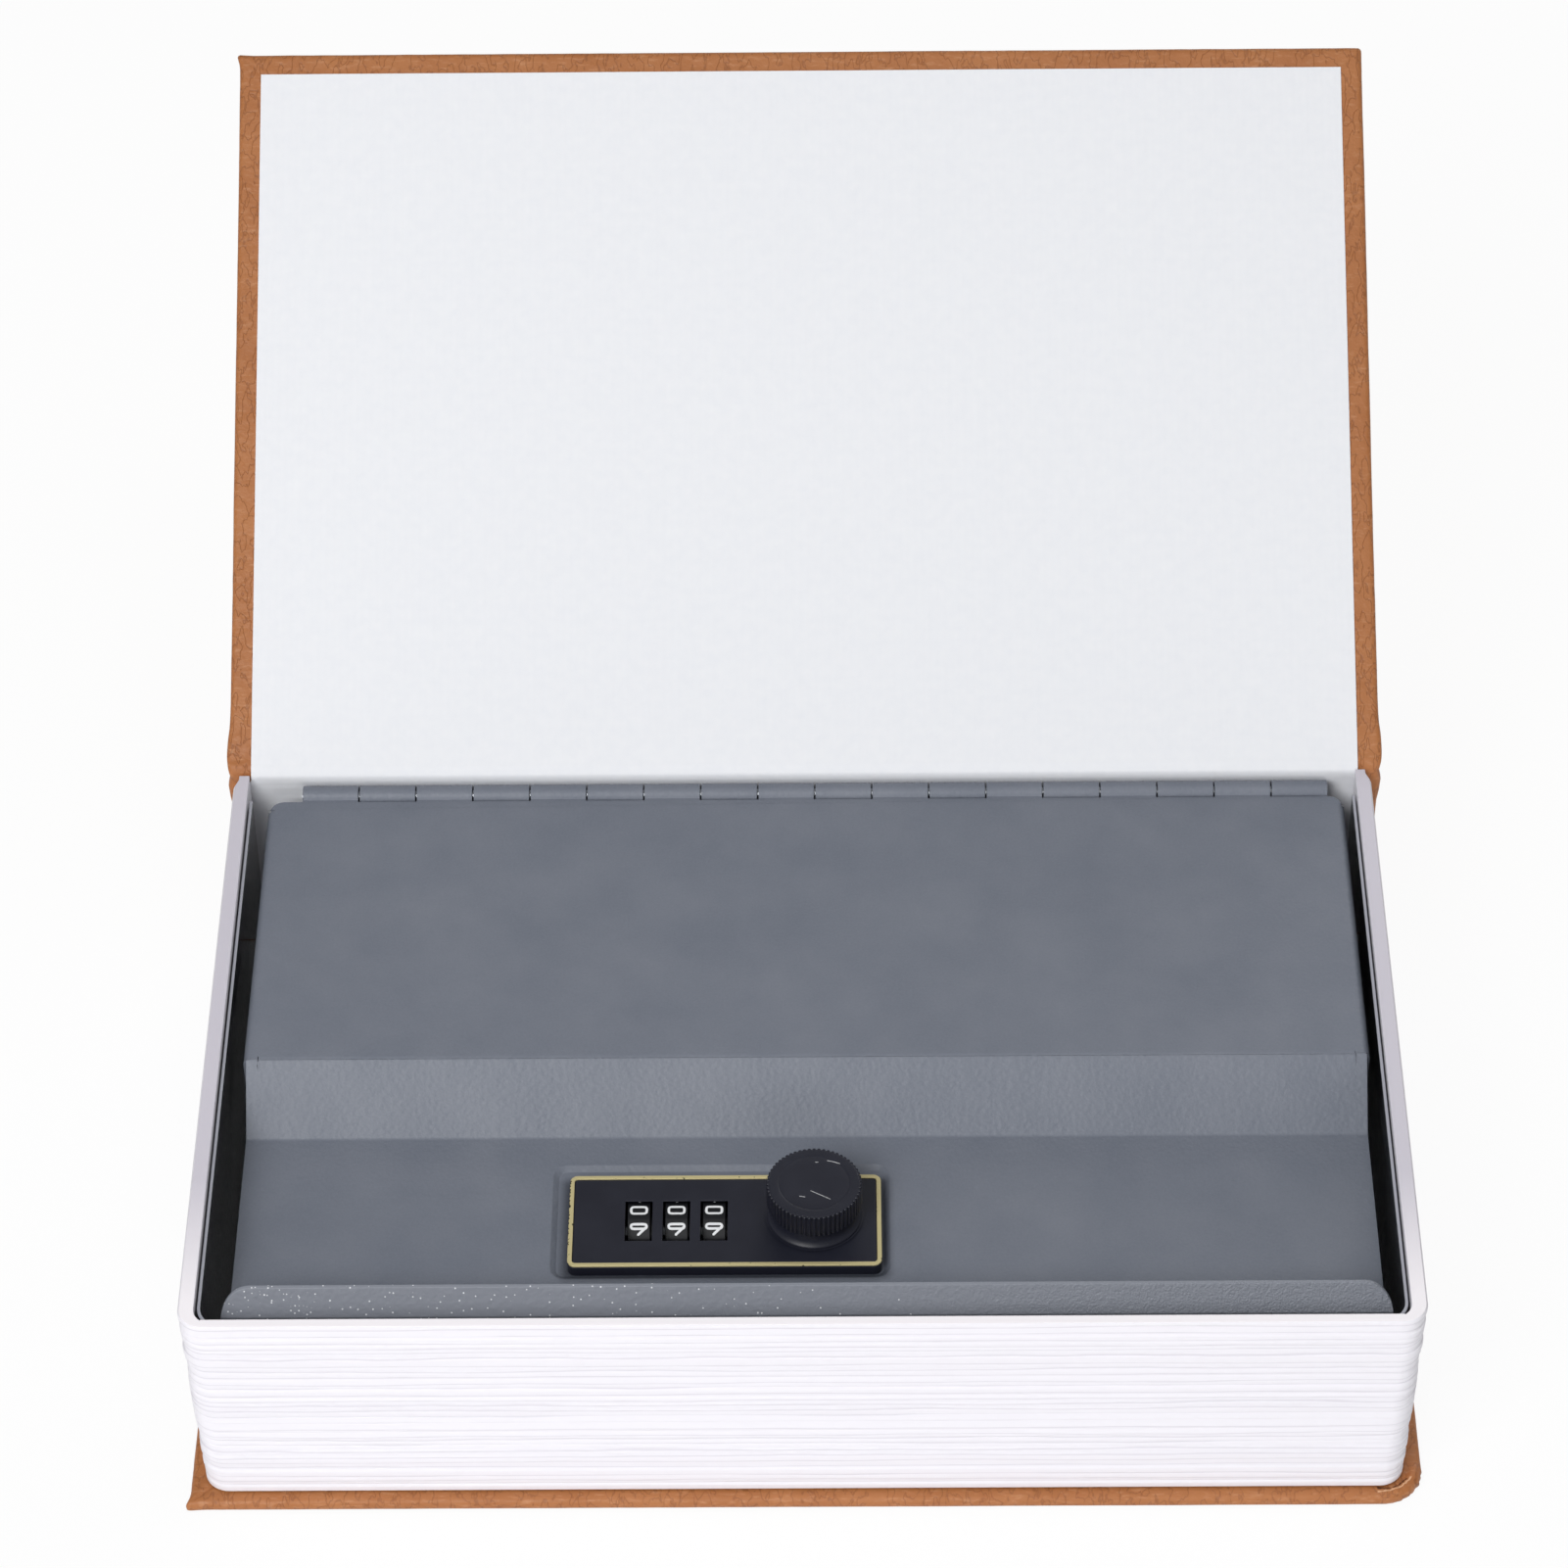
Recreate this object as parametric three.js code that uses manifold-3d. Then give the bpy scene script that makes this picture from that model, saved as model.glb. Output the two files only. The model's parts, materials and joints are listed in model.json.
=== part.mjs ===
// Book diversion safe: a hardback whose page block hides a steel box with a combination lock in its lid.
// Millimetres, +Z up, X along the spine, +Y towards the spine.
// The origin is the middle of the back cover's underside. The front cover stands open and leans back.
// The lid is shut, and its lock stands at the opening code, with the latch turned clear of the strike.

import * as THREE from "three";
import { mergeVertices } from "three/addons/utils/BufferGeometryUtils.js";
import Module from "manifold-3d";

const wasm = await Module();
wasm.setup();

// Driving dimensions

const book = { width: 240, depth: 158, thickness: 55, openAngle: 144.4 };
const fit = { skin: 0.1, slide: 0.3, run: 0.2, overrun: 10, weld: 0.05 };
const leather = { thickness: 0.6, turnIn: 12, corner: 1, wornCorner: 8, foldBead: 1.3 };
const board = { thickness: 1.3 };
const paper = { thickness: 0.2, margin: 4.6 };
const joint = { front: 2, rise: 1.6, flap: 1.7, groove: 5, liningTop: 0.6 };
const pages = {
  squareSide: 1.55,
  squareFront: 2.4,
  coverGap: 0.6,
  offset: -0.45,
  sideWall: 3.2,
  frontWall: 1.4,
  taper: 1.6,
  ledgeWidth: 0.9,
  ledgeHeight: 1.2,
  ledgeChamfer: 1.6,
  backGap: 0.7,
  corner: 5,
  groove: 0.4,
  leafStep: 0.35,
  leaves: 24,
  endRelief: 1.1,
  endLength: 1.2,
  endSlope: 2.8,
};
const liner = { thickness: 0.6, top: 1.5, corner: 5, back: 6.1 };
const lidSheet = {
  thickness: 0.8,
  sideGap: 2.35,
  fingerGap: 11.6,
  skirtDepth: 8,
  skirtProud: 0.6,
  skirtReturn: 3,
  skirtBack: 2.5,
  lipProud: 0.8,
  topBelowPages: 2.75,
  drop: 11.4,
  plateau: 74,
  lipHeight: 9.85,
  lipCorner: 5.5,
  backCorner: 2.5,
  bend: 1,
  hingeEdge: 2.45,
};
const hinge = {
  barrel: 4.4,
  bore: 2.4,
  pin: 2,
  pairs: 9,
  leftInset: 6.95,
  rightInset: 3.19,
  fromSpine: 3.35,
  leafHeight: 18,
};
const box = { offset: 0.35, wall: 1, corner: 2, skirtGap: 1.1, lipGap: 0.3, rimGap: 0.4, leafGap: 0.2 };
const lock = {
  x: -15.9,
  fromLip: 23.1,
  width: 61,
  depth: 23.7,
  height: 2.7,
  corner: 1.6,
  proud: 2,
  knobFromCentre: 17.45,
  knobBack: 1.2,
  trimWidth: 0.9,
  trimDepth: 0.3,
  trimProud: 0.1,
};
const recess = { depth: 0.8, marginX: 2.6, marginY: 3.05, left: 0.9, back: 1.7, draft: 1.2, corner: 3 };
const wheel = {
  apothem: 6.3,
  width: 4.4,
  pitch: 7.35,
  count: 3,
  digits: 10,
  chamfer: 0.3,
  bore: 4.3,
  firstFromCentre: 16.85,
  back: 3.05,
  sunk: 0.6,
  windowWidth: 5.3,
  windowLength: 10.4,
};
const sleeve = { radius: 4.1, bore: 1.7, flange: 5.2, flangeWidth: 0.6, flangeAt: 3.35, gate: 3 };
const axle = { radius: 1.5, inWall: 1 };
const bar = { thickness: 0.8, width: 7, rim: 1.2, tooth: 0.6, toothWidth: 2.2, play: 0.25, belowWheel: 0.45, reach: 4.5 };
const housing = {
  left: 28.5,
  right: 28,
  wall: 1.5,
  top: 0.3,
  crossWall: 1.2,
  endBlock: 5,
  boss: 6,
  bossLift: 0.9,
};
const backPlate = { thickness: 1 };
const spring = { thickness: 0.4, height: 9, fingerGap: 1.6, heel: 3 };
const screw = { radius: 1, head: 2, headHeight: 1.3, inset: 2.5, boss: 1.8 };
const knob = {
  radius: 8.98,
  height: 9.16,
  gap: 0.3,
  skirt: 9.6,
  skirtEdge: 0.6,
  skirtHeight: 3.2,
  waist: 8.5,
  teeth: 60,
  toothDepth: 0.25,
  bevel: 0.4,
  markLength: 5,
  markWidth: 0.8,
  markDepth: 0.4,
  socket: 5.5,
};
const spindle = { radius: 4, top: 3, eccentric: 2.5, throw: 1.2, lower: 2.1, square: 3.6, tail: 1.6, tailLength: 5.2 };
const latch = { tipGap: 1.2, width: 9, thickness: 2, below: 1.8, hub: 6 };
const nut = { acrossFlats: 6, height: 2.4, washer: 3.6, washerHeight: 0.6 };
const lever = { fromCentre: 19.1, length: 4, width: 5, height: 1.4, stem: 2, rivet: 0.7, travel: 1.8 };
const strike = { width: 24, thickness: 1, reach: 6, height: 12, aboveLatch: 0.4 };
const foot = { side: 15.4, front: 15.6, back: 16.55, head: 4, headHeight: 2, shank: 1.8, end: 0.3 };
const round = { arcSteps: 5, smallSides: 12, midSides: 20, fullSides: 36, grooveShare: 0.22 };
const MERGE_DISTANCE = 1e-4;

// Materials

const material = (color, roughness, metalness = 0) => new THREE.MeshStandardMaterial({ color, roughness, metalness });
const finish = {
  leather: material("#b9794a", 0.6),
  board: material("#a08c70", 0.9),
  paper: material("#e9eaee", 0.85),
  pages: material("#f3f2f6", 0.5),
  liner: material("#17181b", 0.2),
  steel: material("#70757f", 0.45, 0.3),
  black: material("#1c1d21", 0.45),
  gold: material("#c9b26a", 0.35, 0.8),
  zinc: material("#b4b6b8", 0.35, 0.9),
  brass: material("#b89b5a", 0.3, 0.9),
};

// Solids: a geometry as a solid, a solid as a geometry, and the basic forms

function solidOf(geometry) {
  const bare = geometry.index ? geometry.toNonIndexed() : geometry.clone();
  bare.deleteAttribute("normal");
  bare.deleteAttribute("uv");
  const merged = mergeVertices(bare, MERGE_DISTANCE);
  const mesh = new wasm.Mesh({
    numProp: 3,
    vertProperties: merged.attributes.position.array,
    triVerts: new Uint32Array(merged.index.array),
  });
  return new wasm.Manifold(mesh);
}

function geometryOf(solid) {
  const mesh = solid.getMesh();
  const geometry = new THREE.BufferGeometry();
  geometry.setAttribute("position", new THREE.BufferAttribute(Float32Array.from(mesh.vertProperties), 3));
  geometry.setIndex(new THREE.BufferAttribute(Uint32Array.from(mesh.triVerts), 1));
  const flat = geometry.toNonIndexed();
  flat.computeVertexNormals();
  return flat;
}

function place(group, name, solid, look) {
  const mesh = new THREE.Mesh(geometryOf(solid), look);
  mesh.name = name;
  group.add(mesh);
  return mesh;
}

const joined = (solids) => solids.reduce((sum, solid) => sum.add(solid));
const without = (solid, cutters) => cutters.reduce((rest, cutter) => rest.subtract(cutter), solid);

function slab(x0, x1, y0, y1, z0, z1) {
  const geometry = new THREE.BoxGeometry(x1 - x0, y1 - y0, z1 - z0);
  return solidOf(geometry.translate((x0 + x1) / 2, (y0 + y1) / 2, (z0 + z1) / 2));
}

// A rectangle whose corners, from the low corner round to the left, have their own radii.
function rectangle(x0, x1, y0, y1, radii = [0, 0, 0, 0]) {
  const corners = [
    [x0, y0, 1, 1],
    [x1, y0, -1, 1],
    [x1, y1, -1, -1],
    [x0, y1, 1, -1],
  ];
  const shape = new THREE.Shape();
  corners.forEach(([x, y, toX, toY], i) => {
    const radius = radii[i];
    if (!radius) {
      shape[i ? "lineTo" : "moveTo"](x, y);
      return;
    }
    const start = Math.PI + (i * Math.PI) / 2;
    shape.absarc(x + toX * radius, y + toY * radius, radius, start, start + Math.PI / 2, false);
  });
  return shape;
}

function polygon(points) {
  return new THREE.Shape(points.map(([x, y]) => new THREE.Vector2(x, y)));
}

function extruded(shape, depth) {
  const options = { depth, bevelEnabled: false, curveSegments: round.arcSteps };
  return new THREE.ExtrudeGeometry(shape, options);
}

// A shape drawn in X and Y, Y and Z, or X and Z, pushed through the remaining direction.
function prismZ(shape, z0, z1) {
  return solidOf(extruded(shape, z1 - z0).translate(0, 0, z0));
}

function prismX(shape, x0, x1) {
  const turn = new THREE.Matrix4();
  turn.makeBasis(new THREE.Vector3(0, 1, 0), new THREE.Vector3(0, 0, 1), new THREE.Vector3(1, 0, 0));
  return solidOf(extruded(shape, x1 - x0).applyMatrix4(turn).translate(x0, 0, 0));
}

function prismY(shape, y0, y1) {
  const turn = new THREE.Matrix4();
  turn.makeBasis(new THREE.Vector3(1, 0, 0), new THREE.Vector3(0, 0, 1), new THREE.Vector3(0, -1, 0));
  return solidOf(extruded(shape, y1 - y0).applyMatrix4(turn).translate(0, y1, 0));
}

function rodX(radius, x0, x1, y, z, sides) {
  const geometry = new THREE.CylinderGeometry(radius, radius, x1 - x0, sides);
  return solidOf(geometry.rotateZ(-Math.PI / 2).translate((x0 + x1) / 2, y, z));
}

function rodZ(radius, z0, z1, x, y, sides) {
  const geometry = new THREE.CylinderGeometry(radius, radius, z1 - z0, sides);
  return solidOf(geometry.rotateX(Math.PI / 2).translate(x, y, (z0 + z1) / 2));
}

// A profile of radius and height, turned about Z.
function turnedZ(profile, sides) {
  const points = profile.map(([radius, height]) => new THREE.Vector2(radius, height));
  return solidOf(new THREE.LatheGeometry(points, sides).rotateX(Math.PI / 2));
}

// A stack of outlines with equal point counts, one for each height, closed at both ends.
function stacked(levels) {
  const count = levels[0].outline.length;
  const positions = levels.flatMap(({ outline, z }) => outline.flatMap((p) => [p.x, p.y, z]));
  const faces = [];
  for (let level = 1; level < levels.length; level++) {
    for (let i = 0; i < count; i++) {
      const next = (i + 1) % count;
      const low = (level - 1) * count;
      const high = level * count;
      faces.push(low + i, low + next, high + next, low + i, high + next, high + i);
    }
  }
  const last = (levels.length - 1) * count;
  THREE.ShapeUtils.triangulateShape(levels[0].outline, []).forEach(([a, b, c]) => {
    faces.push(a, c, b);
    faces.push(last + a, last + b, last + c);
  });
  const geometry = new THREE.BufferGeometry();
  geometry.setAttribute("position", new THREE.Float32BufferAttribute(positions, 3));
  geometry.setIndex(faces);
  return solidOf(geometry);
}

// A line of points with its bends rounded; each result point carries the direction to the line's left.
function roundedLine(points, radii) {
  const direction = (a, b) => {
    const length = Math.hypot(b[0] - a[0], b[1] - a[1]);
    return [(b[0] - a[0]) / length, (b[1] - a[1]) / length];
  };
  const line = [];
  const add = (x, y, [dx, dy]) => line.push({ x, y, leftX: -dy, leftY: dx });
  const last = points.length - 1;
  add(points[0][0], points[0][1], direction(points[0], points[1]));
  for (let i = 1; i < last; i++) {
    const into = direction(points[i - 1], points[i]);
    const out = direction(points[i], points[i + 1]);
    const turn = Math.atan2(into[0] * out[1] - into[1] * out[0], into[0] * out[0] + into[1] * out[1]);
    const radius = radii[i - 1];
    const reach = radius * Math.tan(Math.abs(turn) / 2);
    const side = Math.sign(turn);
    const startX = points[i][0] - into[0] * reach;
    const startY = points[i][1] - into[1] * reach;
    const centreX = startX - into[1] * side * radius;
    const centreY = startY + into[0] * side * radius;
    for (let step = 0; step <= round.arcSteps; step++) {
      const angle = (turn * step) / round.arcSteps;
      const dx = into[0] * Math.cos(angle) - into[1] * Math.sin(angle);
      const dy = into[0] * Math.sin(angle) + into[1] * Math.cos(angle);
      add(centreX + dy * side * radius, centreY - dx * side * radius, [dx, dy]);
    }
  }
  add(points[last][0], points[last][1], direction(points[last - 1], points[last]));
  return line;
}

// The section of a bent sheet that lies to the left of its line.
function sheetSection(line, thickness) {
  const near = line.map((p) => [p.x, p.y]);
  const far = line.map((p) => [p.x + p.leftX * thickness, p.y + p.leftY * thickness]);
  return polygon([...near, ...far.reverse()]);
}

// Places that follow from the driving dimensions

const caseThickness = 2 * leather.thickness + board.thickness + 2 * fit.skin;
const foreEdge = -book.depth / 2;
const spineBack = book.depth / 2;
const halfWidth = book.width / 2;
const spineInside = spineBack - caseThickness;
const coverHinge = { y: spineBack - joint.front, z: book.thickness - caseThickness - fit.slide };
const spineTop = coverHinge.z - joint.rise;
const frameTop = coverHinge.z - pages.coverGap;
const frameHalf = halfWidth - pages.squareSide;
const frameFront = foreEdge + pages.squareFront;
const frameBack = spineInside - pages.backGap;
const frameInside = frameHalf - pages.sideWall;
const frameInFront = frameFront + pages.frontWall;
const ledgeBack = frameInFront + pages.ledgeWidth;
const linerHalf = frameInside - fit.slide - fit.skin;
const linerFront = frameInFront + fit.slide;
const linerTop = frameTop - liner.top;
const lidTop = frameTop - lidSheet.topBelowPages;
const pivot = { y: spineInside - hinge.fromSpine, z: lidTop - lidSheet.thickness };
const lowTop = lidTop - lidSheet.drop;
const plateauBack = pivot.y - lidSheet.hingeEdge;
const slopeTopY = plateauBack - lidSheet.plateau;
const slopeFootY = slopeTopY - lidSheet.drop;
const lipFront = linerFront + liner.thickness + lidSheet.fingerGap;
const lipBack = lipFront + lidSheet.thickness;
const skirtHalf = linerHalf - liner.thickness - lidSheet.sideGap;
const lidHalf = skirtHalf - lidSheet.skirtProud;
const lipTop = lowTop + lidSheet.lipHeight;
const barrelRadius = hinge.barrel / 2;
const leafFront = pivot.y - barrelRadius;
const boxBack = leafFront - box.leafGap;
const boxFront = lipBack + box.lipGap;
const boxHalf = skirtHalf - lidSheet.thickness - box.skirtGap;
const boxFloor = caseThickness + paper.thickness + 2 * fit.skin;
const barrelStart = hinge.leftInset - skirtHalf;
const barrelEnd = skirtHalf - hinge.rightInset;
const knuckle = (barrelEnd - barrelStart) / (2 * hinge.pairs);
const lockY = lipBack + lock.fromLip;
const knobX = lock.x + lock.knobFromCentre;
const knobY = lockY + lock.knobBack;
const leverX = lock.x - lever.fromCentre;
const faceTop = lowTop + lock.proud;
const faceBottom = faceTop - lock.height;
const recessFloor = lowTop - recess.depth;
const recessUnder = recessFloor - lidSheet.thickness;
const housingTop = recessUnder - housing.top;
const wheelY = lockY + wheel.back;
const wheelZ = faceTop - wheel.sunk - wheel.apothem;
const wheelCorner = wheel.apothem / Math.cos(Math.PI / wheel.digits);
const barTop = wheelZ - wheelCorner - bar.belowWheel;
const barBottom = barTop - bar.thickness;
const housingBottom = barBottom - fit.slide;
const plateTop = housingBottom - fit.skin;
const plateBottom = plateTop - backPlate.thickness;
const latchTop = plateBottom - latch.below;
const latchBottom = latchTop - latch.thickness;
const wheelX = Array.from({ length: wheel.count }, (_, i) => lock.x - wheel.firstFromCentre + i * wheel.pitch);
const toothStart = sleeve.flangeAt + sleeve.flangeWidth + bar.play;
const barTravel = sleeve.flangeWidth + bar.tooth + 2 * bar.play;
const leftWallX = wheelX[0] - wheel.width / 2 - housing.crossWall - 2 * fit.slide - fit.run;
const rightWallX = wheelX[wheel.count - 1] + toothStart + bar.tooth + fit.slide;
const screwX = [lock.x - housing.left + screw.inset, lock.x + housing.right - screw.inset];
const halfHousing = wheelCorner + fit.slide + spring.thickness + fit.skin + housing.wall;
const strikeWall = boxFront + box.wall + fit.skin;
const latchLength = knobY - strikeWall - strike.thickness - latch.tipGap;

// Covers: boards wrapped in leather cloth with turned-in edges, all built with the inner face up

function caseWrap(y0, y1, z, radii) {
  const t = leather.thickness;
  const outline = rectangle(-halfWidth, halfWidth, y0, y1, radii);
  const inner = rectangle(t - halfWidth, halfWidth - t, y0 + t, y1 - t, radii.map((r) => Math.max(r - t, 0)));
  const edge = leather.turnIn;
  const top = z + caseThickness;
  return without(prismZ(outline, z, top), [
    prismZ(inner, z + t, top - t),
    slab(edge - halfWidth, halfWidth - edge, y0 + edge, y1 - edge, z + t, top + fit.overrun),
  ]);
}

function caseBoard(y0, y1, z, radii) {
  const skin = leather.thickness + fit.skin;
  const inset = radii.map((r) => Math.max(r - skin, 0));
  const outline = rectangle(skin - halfWidth, halfWidth - skin, y0 + skin, y1 - skin, inset);
  const edge = leather.turnIn + fit.skin;
  const top = z + caseThickness;
  return joined([
    prismZ(outline, z + skin, top - skin),
    slab(edge - halfWidth, halfWidth - edge, y0 + edge, y1 - edge, z + skin, top - fit.skin),
  ]);
}

const backRadii = [leather.corner, leather.wornCorner, 0, 0];
const frontRadii = [0, 0, leather.corner, leather.corner];
const backBoardEnd = spineInside - joint.front;

function spineWrap() {
  const t = leather.thickness;
  const edge = leather.turnIn;
  const foot = caseThickness + t;
  return without(slab(-halfWidth, halfWidth, spineInside, spineBack, 0, spineTop), [
    slab(t - halfWidth, halfWidth - t, spineInside + t, spineBack - t, foot, spineTop - t),
    slab(edge - halfWidth, halfWidth - edge, spineInside - fit.overrun, spineBack - t, foot, spineTop - edge),
  ]);
}

function spineBoard() {
  const skin = leather.thickness + fit.skin;
  const edge = leather.turnIn + fit.skin;
  const foot = caseThickness + skin;
  return joined([
    slab(skin - halfWidth, halfWidth - skin, spineInside + skin, spineBack - skin, foot, spineTop - skin),
    slab(edge - halfWidth, halfWidth - edge, spineInside + fit.skin, spineBack - skin, foot, spineTop - edge),
  ]);
}

function backWrap() {
  const join = slab(
    -halfWidth,
    halfWidth,
    backBoardEnd - leather.thickness,
    spineBack - leather.thickness,
    0,
    caseThickness,
  );
  return joined([caseWrap(foreEdge, backBoardEnd, 0, backRadii), join, spineWrap()]);
}

function frontWrap() {
  const flapTop = -fit.skin;
  const flap = slab(
    leather.thickness - halfWidth,
    halfWidth - leather.thickness,
    joint.flap,
    joint.groove,
    flapTop - leather.thickness,
    flapTop,
  );
  return joined([caseWrap(joint.groove - leather.thickness, frontLength, -caseThickness, frontRadii), flap]);
}

const frontLength = coverHinge.y - foreEdge;

// Page frame: a moulded U with irregular leaves on its outside, and a ledge over the liner in front

function frameOutline(offset, z) {
  const radius = pages.corner + offset;
  const reach = frameHalf + offset - (pages.taper * (frameTop - z)) / (frameTop - caseThickness);
  const front = frameFront - offset;
  const shape = rectangle(-reach, reach, front, frameBack, [radius, radius, 0, 0]);
  return shape.getPoints(round.arcSteps);
}

// Leaf heights, steps and groove depths vary by a fixed formula, as loose pages do.
function leafLevels() {
  const weights = Array.from({ length: pages.leaves }, (_, i) => 1 + Math.sin(i * i + i) / 3);
  const total = weights.reduce((sum, weight) => sum + weight, 0);
  const bottom = caseThickness + fit.skin;
  const height = frameTop - bottom;
  const levels = [];
  let z = bottom;
  weights.forEach((weight, i) => {
    const leaf = (height * weight) / total;
    const step = (pages.leafStep * (1 + Math.sin(3 * i * i))) / 2;
    const groove = step + (pages.groove * (2 + Math.cos(i * i))) / 3;
    const low = z + leaf * round.grooveShare;
    const high = z + leaf * (1 - round.grooveShare);
    levels.push({ z, outline: frameOutline(-groove, z) });
    levels.push({ z: low, outline: frameOutline(-step, low) });
    levels.push({ z: high, outline: frameOutline(-step, high) });
    z += leaf;
  });
  levels.push({ z: frameTop, outline: frameOutline(-pages.groove, frameTop) });
  return levels;
}

function pageFrame() {
  const over = fit.overrun;
  const ledgeHalf = frameInside - pages.ledgeChamfer;
  const ledgeRoot = frameInFront - fit.weld;
  const ledge = polygon([
    [-frameInside, ledgeRoot],
    [frameInside, ledgeRoot],
    [ledgeHalf, ledgeBack],
    [-ledgeHalf, ledgeBack],
  ]);
  const relief = (side) => {
    const reliefX = side * (frameHalf - pages.endRelief);
    const outX = side * (frameHalf + over);
    const reliefY = frameBack - pages.endLength;
    const points = [
      [reliefX, frameBack + over],
      [reliefX, reliefY],
      [side * frameHalf, reliefY - pages.endSlope],
      [outX, reliefY - pages.endSlope],
      [outX, frameBack + over],
    ];
    return prismZ(polygon(side > 0 ? points.reverse() : points), 0, book.thickness);
  };
  const pocket = rectangle(-frameInside, frameInside, frameInFront, frameBack + over, [
    pages.corner - pages.frontWall,
    pages.corner - pages.frontWall,
    0,
    0,
  ]);
  const shell = without(stacked(leafLevels()), [prismZ(pocket, 0, book.thickness), relief(1), relief(-1)]);
  return joined([shell, prismZ(ledge, frameTop - pages.ledgeHeight, frameTop)]);
}

function frameLiner() {
  const ring = (inset) => {
    const radius = liner.corner - inset;
    return rectangle(
      inset - linerHalf,
      linerHalf - inset,
      linerFront + inset,
      inset ? frameBack + fit.overrun : frameBack - liner.back,
      [radius, radius, 0, 0],
    );
  };
  const bottom = caseThickness + fit.skin;
  const inside = prismZ(ring(liner.thickness), bottom - fit.overrun, linerTop + fit.overrun);
  return prismZ(ring(0), bottom, linerTop).subtract(inside);
}

// Lid: one bent sheet with side skirts, a pressed recess and hinge knuckles, in the hinge axis's frame

function lidLine(extraBack) {
  const points = [
    [plateauBack + extraBack, lidTop],
    [slopeTopY, lidTop],
    [slopeFootY, lowTop],
    [lipBack, lowTop],
    [lipBack, lipTop],
  ];
  const outside = lidSheet.bend + lidSheet.thickness;
  return roundedLine(points, [outside, lidSheet.bend, lidSheet.bend]);
}

function knuckleSpans(owner) {
  const first = owner === "lid" ? 0 : 1;
  return Array.from({ length: hinge.pairs }, (_, i) => {
    const start = barrelStart + (2 * i + first) * knuckle;
    return [start + fit.slide / 2, start + knuckle - fit.slide / 2];
  });
}

function knuckles(owner) {
  return knuckleSpans(owner).map(([x0, x1]) => rodX(barrelRadius, x0, x1, pivot.y, pivot.z, round.midSides));
}

function hingeBore() {
  const over = fit.overrun;
  return rodX(hinge.bore / 2, barrelStart - over, barrelEnd + over, pivot.y, pivot.z, round.smallSides);
}

function skirt(side) {
  const outer = side * skirtHalf;
  const inner = outer - side * lidSheet.skirtReturn;
  const line = [
    [inner, lidTop],
    [outer, lidTop],
    [outer, lidTop - lidSheet.skirtDepth],
  ];
  const bend = [lidSheet.bend + lidSheet.thickness];
  const section = sheetSection(roundedLine(side > 0 ? line.reverse() : line, bend), lidSheet.thickness);
  return prismY(section, slopeTopY, plateauBack - lidSheet.skirtBack);
}

function recessStack(offset, z0, z1) {
  const x = lock.x - recess.left;
  const y = lockY + recess.back;
  const halfX = lock.width / 2 + recess.marginX + offset;
  const halfY = lock.depth / 2 + recess.marginY + offset;
  const outline = (inset) => {
    const radius = recess.corner + offset - inset;
    const left = x - halfX + inset;
    const front = y - halfY + inset;
    const shape = rectangle(left, 2 * x - left, front, 2 * y - front, Array(4).fill(radius));
    return shape.getPoints(round.arcSteps);
  };
  return stacked([
    { z: z0, outline: outline(recess.draft) },
    { z: z1, outline: outline(0) },
  ]);
}

function lidPlate() {
  const half = lidHalf;
  const over = fit.overrun;
  const skirtInner = skirtHalf - lidSheet.skirtReturn;
  const lipHalf = half + lidSheet.lipProud;
  const sheet = prismX(sheetSection(lidLine(0), lidSheet.thickness), -lipHalf, lipHalf);
  const lipZone = slab(-half - over, half + over, lipFront - over, lipBack + lidSheet.bend, lowTop + lidSheet.bend, lipTop + over);
  const lipShape = rectangle(-lipHalf, lipHalf, lowTop, lipTop, [0, 0, lidSheet.lipCorner, lidSheet.lipCorner]);
  const lipCut = lipZone.subtract(prismY(lipShape, lipFront - over, lipBack + over));
  const backZone = slab(-half - over, half + over, plateauBack - lidSheet.skirtBack, plateauBack + over, lowTop, lidTop + over);
  const corner = lidSheet.backCorner + fit.slide;
  const backShape = rectangle(-half, half, slopeTopY, plateauBack, [0, 0, corner, corner]);
  const backCut = backZone.subtract(prismZ(backShape, lowTop - over, lidTop + over));
  const sides = [-1, 1].flatMap((side) => {
    const strip = (inner, y0, y1) => {
      const x = [side * inner, side * (half + over)].sort((a, b) => a - b);
      return slab(x[0], x[1], y0, y1, lowTop - over, lidTop + over);
    };
    return [
      strip(skirtInner + fit.weld, slopeTopY, plateauBack - lidSheet.skirtBack),
      strip(half, lipBack + lidSheet.bend, slopeTopY),
    ];
  });
  return without(sheet, [lipCut, backCut, ...sides]);
}

function hingeSlots() {
  const depth = pivot.y + barrelRadius;
  const front = leafFront - fit.slide;
  return knuckleSpans("box").map(([x0, x1]) =>
    slab(x0 - fit.slide, x1 + fit.slide, front, depth, pivot.z - barrelRadius, lidTop + fit.overrun),
  );
}

function lockOpenings() {
  const over = fit.overrun;
  const z0 = recessUnder - over;
  const z1 = lowTop + over;
  const wheelReach = wheelCorner + 2 * fit.slide;
  const middle = slab(leftWallX, rightWallX, wheelY - wheelReach, wheelY + wheelReach, z0, z1);
  const bosses = screwX.map((x) => rodZ(screw.boss + fit.slide, z0, z1, x, wheelY, round.smallSides));
  return [middle, rodZ(spindle.radius + fit.slide, z0, z1, knobX, knobY, round.midSides), ...bosses];
}

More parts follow.
